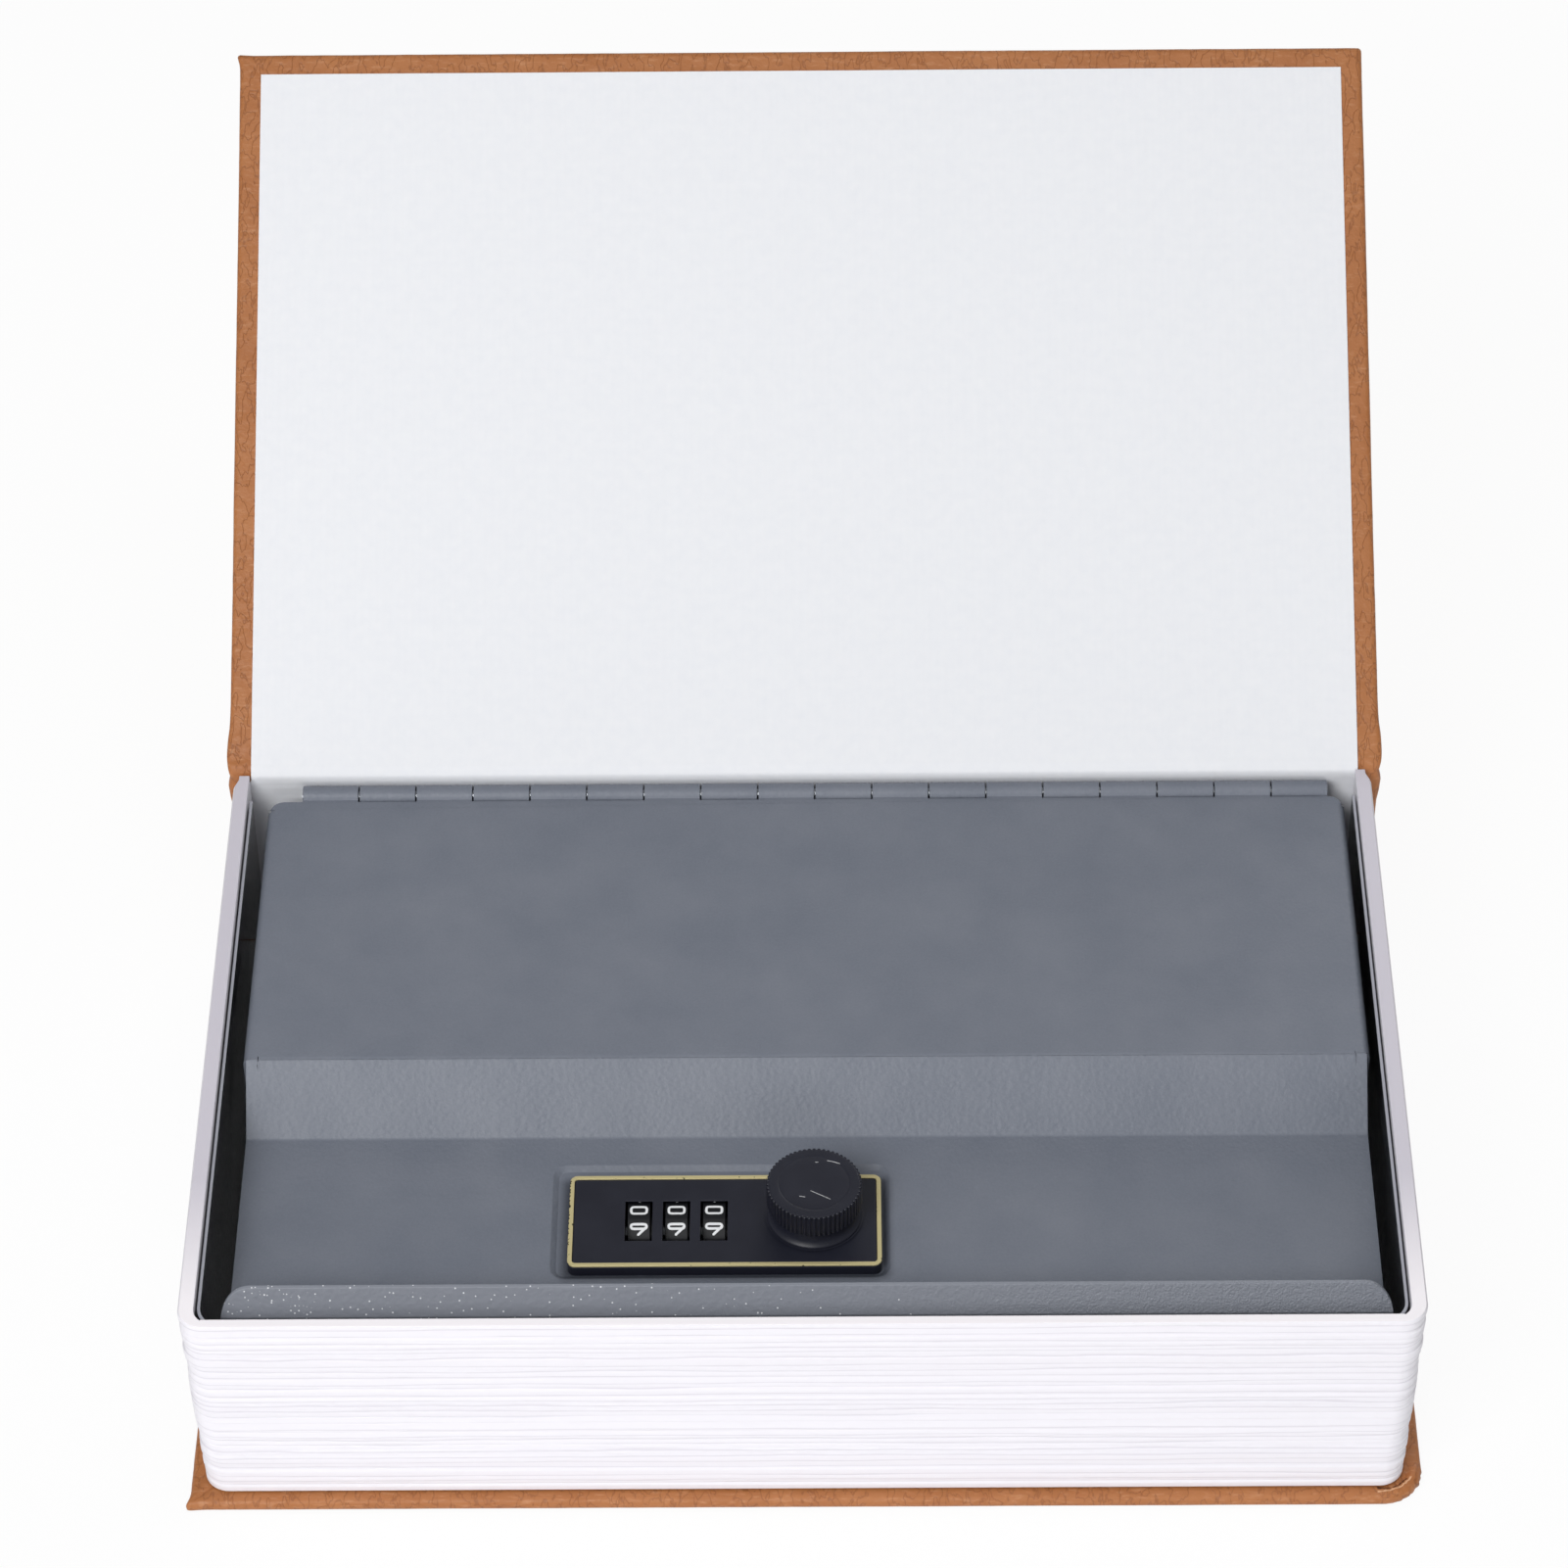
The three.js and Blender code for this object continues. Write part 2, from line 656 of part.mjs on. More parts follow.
function lid() {
  const skirts = [skirt(1), skirt(-1)];
  const tongues = knuckleSpans("lid").map(([x0, x1]) =>
    slab(x0, x1, plateauBack - fit.slide, pivot.y, pivot.z, lidTop),
  );
  const pan = recessStack(lidSheet.thickness, recessUnder, lowTop);
  const pocket = recessStack(0, recessFloor, lowTop).add(recessStack(0, lowTop, lowTop + fit.weld));
  const sheet = joined([lidPlate(), ...skirts, pan]);
  const barrel = joined([...tongues, ...knuckles("lid")]);
  return without(without(sheet, hingeSlots()).add(barrel), [pocket, hingeBore(), ...lockOpenings()]);
}

// Steel box, its hinge leaf, strike and fixings

function boxBody() {
  const over = fit.overrun;
  const outer = rectangle(-boxHalf, boxHalf, boxFront, boxBack, Array(4).fill(box.corner));
  const w = box.wall;
  const inner = rectangle(w - boxHalf, boxHalf - w, boxFront + w, boxBack - w, Array(4).fill(box.corner - w));
  const drop = lidSheet.thickness + box.rimGap;
  const rim = lidLine(over).map((p) => [p.x + p.leftX * drop, p.y + p.leftY * drop]);
  const flat = rim.filter(([y, z]) => z <= lowTop - drop + fit.weld || y > slopeFootY);
  const above = polygon([...flat, [lipFront - over, lowTop - drop], [lipFront - over, lidTop + over], [flat[0][0], lidTop + over]]);
  const holes = footPlaces().map(([x, y]) => rodZ(foot.shank + fit.slide, 0, lidTop, x, y, round.smallSides));
  return without(prismZ(outer, boxFloor, lidTop), [
    prismZ(inner, boxFloor + w, lidTop + over),
    prismX(above, -boxHalf - over, boxHalf + over),
    ...holes,
  ]);
}

function footPlaces() {
  const x = boxHalf - foot.side;
  return [-x, x].flatMap((side) => [boxFront + foot.front, boxBack - foot.back].map((y) => [side, y]));
}

function boxScrew([x, y]) {
  const under = boxFloor + box.wall + fit.skin;
  return rodZ(foot.head, under, under + foot.headHeight, x, y, round.midSides).add(
    rodZ(foot.shank, leather.thickness + foot.end, under + fit.weld, x, y, round.smallSides),
  );
}

function drilled(solid, shift) {
  const cutters = footPlaces().map(([x, y]) => rodZ(foot.shank + fit.slide, -fit.overrun, boxFloor, x + shift, y, round.smallSides));
  return without(solid, cutters);
}

function hingeLeaf() {
  const t = lidSheet.thickness;
  const leafFoot = pivot.z - hinge.leafHeight;
  const leaf = slab(barrelStart + fit.slide, barrelEnd - fit.slide, leafFront, leafFront + t, leafFoot, pivot.z);
  const clear = barrelRadius + fit.slide;
  const gaps = knuckleSpans("lid").map(([x0, x1]) =>
    slab(x0 - fit.slide, x1 + fit.slide, leafFront - clear, pivot.y + clear, pivot.z - clear, pivot.z + clear),
  );
  return without(without(leaf, gaps).add(joined(knuckles("box"))), [hingeBore()]);
}

function latchStrike() {
  const low = latchTop + strike.aboveLatch;
  const line = [
    [strikeWall + strike.reach, low + strike.thickness],
    [strikeWall + strike.thickness, low + strike.thickness],
    [strikeWall + strike.thickness, low + strike.height],
  ];
  const section = sheetSection(roundedLine(line, [lidSheet.bend]), strike.thickness);
  return prismX(section, knobX - strike.width / 2, knobX + strike.width / 2);
}

// Lock: faceplate with windows above the lid, housing and back plate below it

function faceplate() {
  const over = fit.overrun;
  const halfX = lock.width / 2;
  const halfY = lock.depth / 2;
  const outline = (inset) =>
    rectangle(
      lock.x - halfX + inset,
      lock.x + halfX - inset,
      lockY - halfY + inset,
      lockY + halfY - inset,
      Array(4).fill(lock.corner - inset),
    );
  const rebateFloor = faceTop - lock.trimDepth - fit.skin;
  const inset = lock.trimWidth + fit.skin;
  const rebate = prismZ(outline(-over / 2), rebateFloor, faceTop + over).subtract(
    prismZ(outline(inset), rebateFloor - over, faceTop + 2 * over),
  );
  const windows = wheelX.flatMap((x) => {
    const w = wheel.windowWidth / 2;
    const l = wheel.windowLength / 2;
    return [
      slab(x - w, x + w, lockY - l, lockY + l, faceBottom - over, faceTop + over),
      rodX(wheelCorner + fit.slide, x - w, x + w, wheelY, wheelZ, round.fullSides),
    ];
  });
  const bosses = screwX.map((x) =>
    rodZ(screw.boss, housingTop + fit.skin, faceBottom + fit.weld, x, wheelY, round.smallSides),
  );
  const pilots = screwX.map((x) =>
    rodZ(screw.radius + fit.run, housingTop - over, faceTop - lock.height / 2 + fit.slide, x, wheelY, round.smallSides),
  );
  const spindleHole = rodZ(spindle.radius + fit.slide, faceBottom - over, faceTop + over, knobX, knobY, round.midSides);
  const flangeRoom = rodX(sleeve.flange + fit.slide, leftWallX, rightWallX, wheelY, wheelZ, round.fullSides);
  return without(joined([prismZ(outline(0), faceBottom, faceTop), ...bosses]), [
    rebate,
    ...windows,
    ...pilots,
    spindleHole,
    flangeRoom,
  ]);
}

function trimRing() {
  const ring = (inset) =>
    rectangle(
      lock.x - lock.width / 2 + inset,
      lock.x + lock.width / 2 - inset,
      lockY - lock.depth / 2 + inset,
      lockY + lock.depth / 2 - inset,
      Array(4).fill(lock.corner - inset),
    );
  const bottom = faceTop - lock.trimDepth;
  const top = faceTop + lock.trimProud;
  return prismZ(ring(0), bottom, top).subtract(
    prismZ(ring(lock.trimWidth), bottom - fit.overrun, top + fit.overrun),
  );
}

function lockHousing() {
  const x0 = lock.x - housing.left;
  const x1 = lock.x + housing.right;
  const w = housing.wall;
  const y0 = wheelY - halfHousing;
  const y1 = wheelY + halfHousing;
  const over = fit.overrun;
  const block = slab(x0, x1, y0, y1, housingBottom, housingTop);
  const z0 = housingBottom - over;
  const z1 = housingTop + over;
  const wheelRoom = slab(leftWallX + housing.crossWall, rightWallX, y0 + w, y1 - w, z0, z1);
  const spindleRoom = slab(rightWallX + housing.crossWall, x1 - housing.endBlock, y0 + w, y1 - w, z0, z1);
  const boss = rodZ(housing.boss, barTop + housing.bossLift, housingTop, knobX, knobY, round.midSides);
  const web = slab(knobX - w / 2, knobX + w / 2, y0, y1, barTop + housing.bossLift, housingTop);
  const barWay = slab(leftWallX - bar.tooth, knobX, wheelY - bar.width, wheelY + bar.width, z0, barTop + fit.slide);
  const cuts = [
    rodZ(spindle.radius + fit.run, z0, z1, knobX, knobY, round.midSides),
    rodX(sleeve.bore, leftWallX - axle.inWall, rightWallX + housing.crossWall + fit.slide, wheelY, wheelZ, round.smallSides),
    ...screwX.map((x) => rodZ(screw.radius + fit.run, z0, z1, x, wheelY, round.smallSides)),
  ];
  const walls = without(block, [wheelRoom, spindleRoom, barWay]);
  return without(joined([walls, boss, web]), cuts);
}

function lockBackPlate() {
  const x0 = lock.x - housing.left;
  const x1 = lock.x + housing.right;
  const over = fit.overrun;
  const corner = Array(4).fill(lock.corner);
  const outline = rectangle(x0, x1, wheelY - halfHousing, wheelY + halfHousing, corner);
  const z0 = plateBottom - over;
  const z1 = plateTop + over;
  const halfSlot = (lever.stem + 2 * fit.slide) / 2;
  return without(prismZ(outline, plateBottom, plateTop), [
    rodZ(spindle.lower + fit.slide, z0, z1, knobX, knobY, round.midSides),
    ...screwX.map((x) => rodZ(screw.radius + fit.run, z0, z1, x, wheelY, round.smallSides)),
    slab(leverX - halfSlot, leverX + halfSlot + lever.travel, wheelY - halfSlot, wheelY + halfSlot, z0, z1),
  ]);
}

function lockScrew(x) {
  const headTop = plateBottom - fit.skin;
  return rodZ(screw.head, headTop - screw.headHeight, headTop, x, wheelY, round.smallSides).add(
    rodZ(screw.radius, headTop - fit.weld, faceTop - lock.height / 2, x, wheelY, round.smallSides),
  );
}

function detentSpring() {
  const y = wheelY + halfHousing - housing.wall - fit.skin;
  const high = housingTop - fit.slide;
  const low = high - spring.height;
  const comb = slab(leftWallX + housing.crossWall + fit.slide, rightWallX - fit.slide, y - spring.thickness, y, low, high);
  const gaps = wheelX.slice(1).map((x) => {
    const middle = x - wheel.pitch / 2;
    const half = spring.fingerGap / 2;
    return slab(middle - half, middle + half, y - fit.overrun, y + fit.overrun, low + spring.heel, high + fit.overrun);
  });
  return without(comb, gaps);
}

// Number wheels, their sleeves and the bar that locks them; each wheel is built about its own axis

function numberWheel() {
  const reach = wheel.apothem * Math.tan(Math.PI / wheel.digits) - wheel.chamfer;
  const points = Array.from({ length: wheel.digits }, (_, i) => (2 * Math.PI * i) / wheel.digits).flatMap((angle) =>
    [-reach, reach].map((along) => [
      -wheel.apothem * Math.sin(angle) - along * Math.cos(angle),
      wheel.apothem * Math.cos(angle) - along * Math.sin(angle),
    ]),
  );
  const half = wheel.width / 2;
  return prismX(polygon(points), -half, half).subtract(
    rodX(wheel.bore, -wheel.width, wheel.width, 0, 0, round.midSides),
  );
}

function wheelSleeve() {
  const half = wheel.width / 2;
  const end = sleeve.flangeAt + sleeve.flangeWidth;
  const body = rodX(sleeve.radius, -half, end, 0, 0, round.midSides).add(
    rodX(sleeve.flange, sleeve.flangeAt, end, 0, 0, round.fullSides),
  );
  const gate = slab(sleeve.flangeAt - bar.play, end + bar.play, -sleeve.gate / 2, sleeve.gate / 2, -sleeve.flange - half, -sleeve.radius);
  return without(body, [gate, rodX(sleeve.bore, -wheel.width, end + half, 0, 0, round.smallSides)]);
}

function lockingBar() {
  const eccentricX = knobX + spindle.throw * Math.SQRT1_2;
  const slotX = spindle.eccentric + fit.slide;
  const slotY = spindle.eccentric + spindle.throw + fit.slide;
  const left = wheelX[0] + toothStart - bar.tooth;
  const right = eccentricX + slotX + bar.rim;
  const halfY = bar.width / 2;
  const endY = slotY + bar.rim;
  const plate = slab(left, right, wheelY - halfY, wheelY + halfY, barBottom, barTop);
  const head = slab(eccentricX - slotX - bar.rim, right, knobY - endY, knobY + endY, barBottom, barTop);
  const slot = slab(
    eccentricX - slotX,
    eccentricX + slotX,
    knobY - slotY,
    knobY + slotY,
    barBottom - fit.overrun,
    barTop + fit.overrun,
  );
  const teeth = wheelX.map((x) => {
    const from = x + toothStart;
    const half = bar.toothWidth / 2;
    return slab(from, from + bar.tooth, wheelY - half, wheelY + half, barBottom, wheelZ - bar.reach);
  });
  return joined([plate, head, ...teeth]).subtract(slot);
}

function changeLever() {
  const gripTop = plateBottom - fit.skin;
  const half = lever.stem / 2;
  const square = (reachX, reachY, z0, z1) =>
    slab(leverX - reachX, leverX + reachX, wheelY - reachY, wheelY + reachY, z0, z1);
  const rivetBottom = plateTop + fit.skin;
  return joined([
    square(lever.length / 2, lever.width / 2, gripTop - lever.height, gripTop),
    square(half, half, gripTop - fit.weld, rivetBottom + fit.weld),
    square(lever.stem, lever.stem, rivetBottom, rivetBottom + lever.rivet),
  ]);
}

// Knob with its spindle and latch, built about the spindle's axis

function knobSolid() {
  const bottom = faceTop + knob.gap;
  const top = bottom + knob.height;
  const skirtTop = bottom + knob.skirtHeight;
  const core = turnedZ(
    [
      [0, bottom],
      [knob.skirt, bottom],
      [knob.skirt, bottom + knob.skirtEdge],
      [(knob.skirt + knob.waist) / 2, bottom + (2 * knob.skirtEdge + knob.skirtHeight) / 3],
      [knob.waist, skirtTop],
      [knob.waist, top],
      [0, top],
    ],
    round.fullSides,
  );
  const teeth = Array.from({ length: 2 * knob.teeth }, (_, i) => {
    const angle = (Math.PI * i) / knob.teeth;
    const radius = knob.radius - (i % 2) * knob.toothDepth;
    return new THREE.Vector2(radius * Math.cos(angle), radius * Math.sin(angle));
  });
  const share = (knob.radius - knob.bevel) / knob.radius;
  const knurl = stacked([
    { z: skirtTop, outline: teeth },
    { z: top - knob.bevel, outline: teeth },
    { z: top, outline: teeth.map((p) => p.clone().multiplyScalar(share)) },
  ]);
  const mark = slab(
    -knob.markWidth / 2,
    knob.markWidth / 2,
    knob.radius - knob.markLength - knob.bevel,
    knob.radius - 2 * knob.bevel,
    top - knob.markDepth,
    top + fit.overrun,
  );
  const socket = rodZ(spindle.top + fit.slide, bottom - fit.overrun, bottom + knob.socket, 0, 0, round.midSides);
  return without(core.add(knurl), [mark, socket]);
}

function knobSpindle() {
  const shoulder = faceTop - fit.slide;
  const top = faceTop + knob.gap + knob.socket - fit.slide;
  const angle = (-3 * Math.PI) / 4;
  const eccentricZ0 = barBottom - fit.run;
  const eccentricZ1 = barTop + fit.slide;
  const squareHalf = spindle.square / 2;
  const lowerEnd = latchTop + fit.slide;
  const tailEnd = latchBottom - spindle.tailLength;
  return joined([
    rodZ(spindle.top, shoulder - fit.weld, top, 0, 0, round.midSides),
    rodZ(spindle.radius, eccentricZ1 - fit.weld, shoulder, 0, 0, round.midSides),
    rodZ(
      spindle.eccentric,
      eccentricZ0,
      eccentricZ1,
      -spindle.throw * Math.sin(angle),
      spindle.throw * Math.cos(angle),
      round.midSides,
    ),
    rodZ(spindle.lower, lowerEnd, eccentricZ0 + fit.weld, 0, 0, round.midSides),
    slab(-squareHalf, squareHalf, -squareHalf, squareHalf, latchBottom, lowerEnd + fit.weld),
    rodZ(spindle.tail, tailEnd, latchBottom + fit.weld, 0, 0, round.smallSides),
  ]);
}

function camLatch() {
  const half = latch.width / 2;
  const hubHalf = latch.hub;
  const outline = rectangle(-hubHalf, latchLength, -half, half, [half, half / 2, half / 2, half]);
  const square = spindle.square / 2 + fit.slide / 2;
  return prismZ(outline, latchBottom, latchTop).subtract(
    slab(-square, square, -square, square, latchBottom - fit.overrun, latchTop + fit.overrun),
  );
}

function camWasher() {
  const top = latchBottom - fit.skin;
  return rodZ(nut.washer, top - nut.washerHeight, top, 0, 0, round.midSides).subtract(
    rodZ(spindle.tail + fit.run, 0, top + fit.overrun, 0, 0, round.smallSides),
  );
}

function camNut() {
  const top = latchBottom - nut.washerHeight - 2 * fit.skin;
  return rodZ(nut.acrossFlats / Math.sqrt(3), top - nut.height, top, 0, 0, 6).subtract(
    rodZ(spindle.tail + fit.run, 0, top + fit.overrun, 0, 0, round.smallSides),
  );
}

// Assembly

const safe = new THREE.Group();
const block = new THREE.Group();
const strongbox = new THREE.Group();
block.position.x = pages.offset;
strongbox.position.x = box.offset;
safe.add(block, strongbox);

function addCase() {
  place(safe, "back_cover_board", drilled(caseBoard(foreEdge, backBoardEnd, 0, backRadii), box.offset), finish.board);
  place(safe, "spine_board", spineBoard(), finish.board);
  place(safe, "back_and_spine_leather", backWrap(), finish.leather);
  const beadEnd = halfWidth - leather.thickness;
  const bead = rodX(leather.foldBead, -beadEnd, beadEnd, coverHinge.y, coverHinge.z, round.smallSides);
  place(safe, "cover_joint_strip", bead, finish.leather);
  const floor = caseThickness + fit.skin;
  const sheetHalf = linerHalf - liner.thickness - fit.slide;
  const sheetFront = linerFront + liner.thickness + fit.slide;
  const sheetBack = spineInside - paper.thickness - 2 * fit.slide;
  const sheet = rectangle(-sheetHalf, sheetHalf, sheetFront, sheetBack, [liner.corner, liner.corner, 0, 0]);
  const endpaper = drilled(prismZ(sheet, floor, floor + paper.thickness), box.offset - pages.offset);
  place(block, "back_endpaper", endpaper, finish.paper);
  const liningHalf = halfWidth - paper.margin;
  const liningBack = spineInside - fit.skin;
  const liningTop = spineTop - joint.liningTop;
  const lining = slab(-liningHalf, liningHalf, liningBack - paper.thickness, liningBack, floor, liningTop);
  place(safe, "spine_lining", lining, finish.paper);
}

function addFrontCover() {
  const cover = new THREE.Group();
  cover.position.set(0, coverHinge.y, coverHinge.z);
  cover.rotation.x = THREE.MathUtils.degToRad(180 - book.openAngle);
  const start = joint.groove - leather.thickness;
  place(cover, "front_cover_board", caseBoard(start, frontLength, -caseThickness, frontRadii), finish.board);
  place(cover, "front_cover_leather", frontWrap(), finish.leather);
  const half = halfWidth - paper.margin;
  const sheet = slab(-half, half, joint.flap, frontLength - paper.margin, fit.skin, fit.skin + paper.thickness);
  place(cover, "front_endpaper", sheet, finish.paper);
  safe.add(cover);
}

function addPageBlock() {
  place(block, "page_frame", pageFrame(), finish.pages);
  place(block, "frame_liner", frameLiner(), finish.liner);
  place(strongbox, "box_body", boxBody(), finish.steel);
  place(strongbox, "box_hinge_leaf", hingeLeaf(), finish.steel);
  const pin = rodX(hinge.pin / 2, barrelStart, barrelEnd, pivot.y, pivot.z, round.smallSides);
  place(strongbox, "hinge_pin", pin, finish.zinc);
  place(strongbox, "latch_strike", latchStrike(), finish.zinc);
  footPlaces().forEach((at, i) => place(strongbox, `box_screw_${i + 1}`, boxScrew(at), finish.zinc));
}

function addLid() {
  place(strongbox, "lid", lid(), finish.steel);
  place(strongbox, "lock_faceplate", faceplate(), finish.black);
  place(strongbox, "lock_trim", trimRing(), finish.gold);
  place(strongbox, "lock_housing", lockHousing(), finish.black);
  place(strongbox, "lock_back_plate", lockBackPlate(), finish.zinc);
  screwX.forEach((x, i) => place(strongbox, `lock_screw_${i + 1}`, lockScrew(x), finish.zinc));
  place(strongbox, "detent_spring", detentSpring(), finish.zinc);
  const axleEnd = rightWallX + housing.crossWall;
  const axleStart = leftWallX - axle.inWall + fit.slide;
  const axleRod = rodX(axle.radius, axleStart, axleEnd, wheelY, wheelZ, round.smallSides);
  place(strongbox, "wheel_axle", axleRod, finish.zinc);
  place(strongbox, "locking_bar", lockingBar(), finish.zinc);
  place(strongbox, "change_lever", changeLever(), finish.brass);
}

function addWheels() {
  wheelX.forEach((x, i) => {
    const dial = new THREE.Group();
    dial.position.set(x, wheelY, wheelZ);
    place(dial, `number_wheel_${i + 1}`, numberWheel(), finish.black);
    place(dial, `wheel_sleeve_${i + 1}`, wheelSleeve(), finish.brass);
    strongbox.add(dial);
  });
}

function addKnob() {
  const turning = new THREE.Group();
  turning.position.set(knobX, knobY, 0);
  place(turning, "knob", knobSolid(), finish.black);
  place(turning, "knob_spindle", knobSpindle(), finish.zinc);
  place(turning, "cam_latch", camLatch(), finish.zinc);
  place(turning, "cam_washer", camWasher(), finish.zinc);
  place(turning, "cam_nut", camNut(), finish.brass);
  strongbox.add(turning);
}

addCase();
addFrontCover();
addPageBlock();
addLid();
addWheels();
addKnob();

export default safe;
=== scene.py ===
# %% [markdown]
# # A hollow book that hides a steel box
# The book lies open on a white table. Its covers are board in leather cloth, its page block is a
# white moulded frame, and inside stands a grey steel box with a stepped lid and a small combination
# lock. The CAD model gives every size and every joint. Here each visible piece gets its soft edges,
# its seams and its finish. Lengths are written in millimetres, as on a workshop drawing, and turned
# to metres.

# %% Load the frame and keep its size
import functools
import json
import math

import bmesh
import bpy
import numpy as np
from mathutils import Matrix, Vector, noise


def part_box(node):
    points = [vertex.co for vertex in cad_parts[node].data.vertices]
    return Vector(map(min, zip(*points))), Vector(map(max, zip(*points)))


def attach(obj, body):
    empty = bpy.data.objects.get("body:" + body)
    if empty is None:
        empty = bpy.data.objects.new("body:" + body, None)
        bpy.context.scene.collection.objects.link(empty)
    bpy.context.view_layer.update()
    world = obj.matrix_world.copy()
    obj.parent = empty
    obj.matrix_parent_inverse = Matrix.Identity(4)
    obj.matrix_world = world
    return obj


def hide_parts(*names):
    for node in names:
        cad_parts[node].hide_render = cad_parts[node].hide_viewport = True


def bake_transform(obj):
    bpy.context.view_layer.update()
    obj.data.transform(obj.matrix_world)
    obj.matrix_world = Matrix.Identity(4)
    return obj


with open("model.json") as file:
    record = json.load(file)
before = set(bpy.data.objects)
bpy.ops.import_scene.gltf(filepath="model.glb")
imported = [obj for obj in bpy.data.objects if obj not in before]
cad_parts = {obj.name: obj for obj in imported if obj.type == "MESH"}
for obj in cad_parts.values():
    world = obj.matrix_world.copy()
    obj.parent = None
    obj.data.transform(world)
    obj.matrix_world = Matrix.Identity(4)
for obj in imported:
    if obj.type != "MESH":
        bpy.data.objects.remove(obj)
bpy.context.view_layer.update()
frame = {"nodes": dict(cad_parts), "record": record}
MM = 0.001

# %% [markdown]
# ## Tools for materials
# Real finishes are known by their colour in sRGB, but shaders mix light in linear values, so one
# function turns a hex colour to linear. A second one adds a node, sets its values and links its
# inputs. Every material below is written with these two, and with a few that move the base colour,
# the height or the roughness by a pattern.

# %% Colours and nodes


def linear(hex_colour):
    channels = [int(hex_colour[i : i + 2], 16) / 255 for i in (1, 3, 5)]
    return (*[c / 12.92 if c <= 0.04045 else ((c + 0.055) / 1.055) ** 2.4 for c in channels], 1.0)


def add_node(tree, kind, inputs=None, **settings):
    """Adds a node. An input is given a value, a node or a socket to link, or a list of them."""
    kinds = [prefix + kind for prefix in ("", "ShaderNode", "GeometryNode")]
    node = tree.nodes.new(next(k for k in kinds if hasattr(bpy.types, k)))
    for name, value in settings.items():
        setattr(node, name, value)
    for socket, given in (inputs or {}).items():
        for source in given if isinstance(given, list) else [given]:
            if isinstance(source, bpy.types.Node):
                source = source.outputs[0]
            if isinstance(source, bpy.types.NodeSocket):
                tree.links.new(source, node.inputs[socket])
            else:
                node.inputs[socket].default_value = source
    return node


def new_finish(name, colour, roughness, **settings):
    """A material, a function that adds nodes to it, its shader, and its Object coordinates."""
    finish = bpy.data.materials.new(name)
    finish.use_nodes = True
    add = functools.partial(add_node, finish.node_tree)
    shader = finish.node_tree.nodes["Principled BSDF"]
    shader.inputs["Base Color"].default_value = linear(colour)
    shader.inputs["Roughness"].default_value = roughness
    for socket, value in settings.items():
        shader.inputs[socket.replace("_", " ").title().replace("Ior", "IOR")].default_value = value
    return finish, add, shader, add("TexCoord").outputs["Object"]


def per_metre(size_mm):
    """A texture's scale for features of this size, because Object coordinates are in metres."""
    return 1000 / size_mm


def grained(size_mm, detail, place):
    """The values and link of a noise whose features have this size."""
    return {"Scale": per_metre(size_mm), "Detail": detail, "Vector": place}


def blend_colours(shader, fac, first, second):
    """Lets a pattern move the base colour between two hex colours or earlier blends."""
    tones = [linear(c) if isinstance(c, str) else c.outputs[2] for c in (first, second)]
    tree = shader.id_data
    mix = add_node(tree, "Mix", {0: fac, 6: tones[0], 7: tones[1]}, data_type="RGBA")
    tree.links.new(mix.outputs[2], shader.inputs["Base Color"])
    return mix


def raise_pattern(shader, height, depth_mm, *under):
    """A bump this deep in millimetres, on top of another one if there is one."""
    tree = shader.id_data
    inputs = {"Height": height, "Distance": depth_mm * MM, "Normal": [*under]}
    bump = add_node(tree, "Bump", inputs)
    tree.links.new(bump.outputs[0], shader.inputs["Normal"])
    return bump


def vary_roughness(shader, pattern, low, high):
    """Lets a pattern move the roughness between two values."""
    tree = shader.id_data
    rough = add_node(tree, "MapRange", {"To Min": low, "To Max": high, "Value": pattern})
    tree.links.new(rough.outputs[0], shader.inputs["Roughness"])


def mottled(name, colour, roughness, grain_mm, detail, tones, bump_mm=0, **settings):
    """A finish whose colour drifts between two tones with a noise, which can also lift it."""
    finish, add, shader, place = new_finish(name, colour, roughness, **settings)
    grain = add("TexNoise", grained(grain_mm, detail, place))
    blend_colours(shader, grain, *tones)
    if bump_mm:
        raise_pattern(shader, grain, bump_mm)
    return finish


# %% [markdown]
# ## Powder-coated steel
# The box and lid are sheet steel in a grey stove enamel with a fine hammered skin, as cash boxes
# have. The paint pulls into low pebbles about a millimetre across, so every edge breaks into small
# glints while the flats stay calm. A smooth Voronoi gives the pebbles and a finer noise the orange
# peel between them. On the lip the coat is thicker, and it is painted paler as painted light, with
# white dots of painted glints towards the left. Round the lock plate it is painted darker, as
# painted shade in the pressed recess.

# %% Grey hammered enamel
PEBBLE_MM = 1.15
grey_enamel, add, shader, place = new_finish(
    "grey_hammered_enamel_on_steel", "#747883", 0.46, specular_ior_level=0.4
)
pebbling = {"Scale": per_metre(PEBBLE_MM), "Smoothness": 0.6, "Vector": place}
pebbles = add("TexVoronoi", pebbling, feature="SMOOTH_F1")
peel, cloudy, speckle = [
    add("TexNoise", grained(grain_mm, detail, place))
    for grain_mm, detail in ((0.7, 1.0), (14, 5.0), (0.45, 2.0))
]
uneven_coat = add("Mix", {0: 0.35, 2: cloudy, 3: speckle}, data_type="FLOAT")
clouds = blend_colours(shader, uneven_coat, "#646b78", "#828690")
low = raise_pattern(shader, pebbles, 0.06)
skin = raise_pattern(shader, peel, 0.05, low)
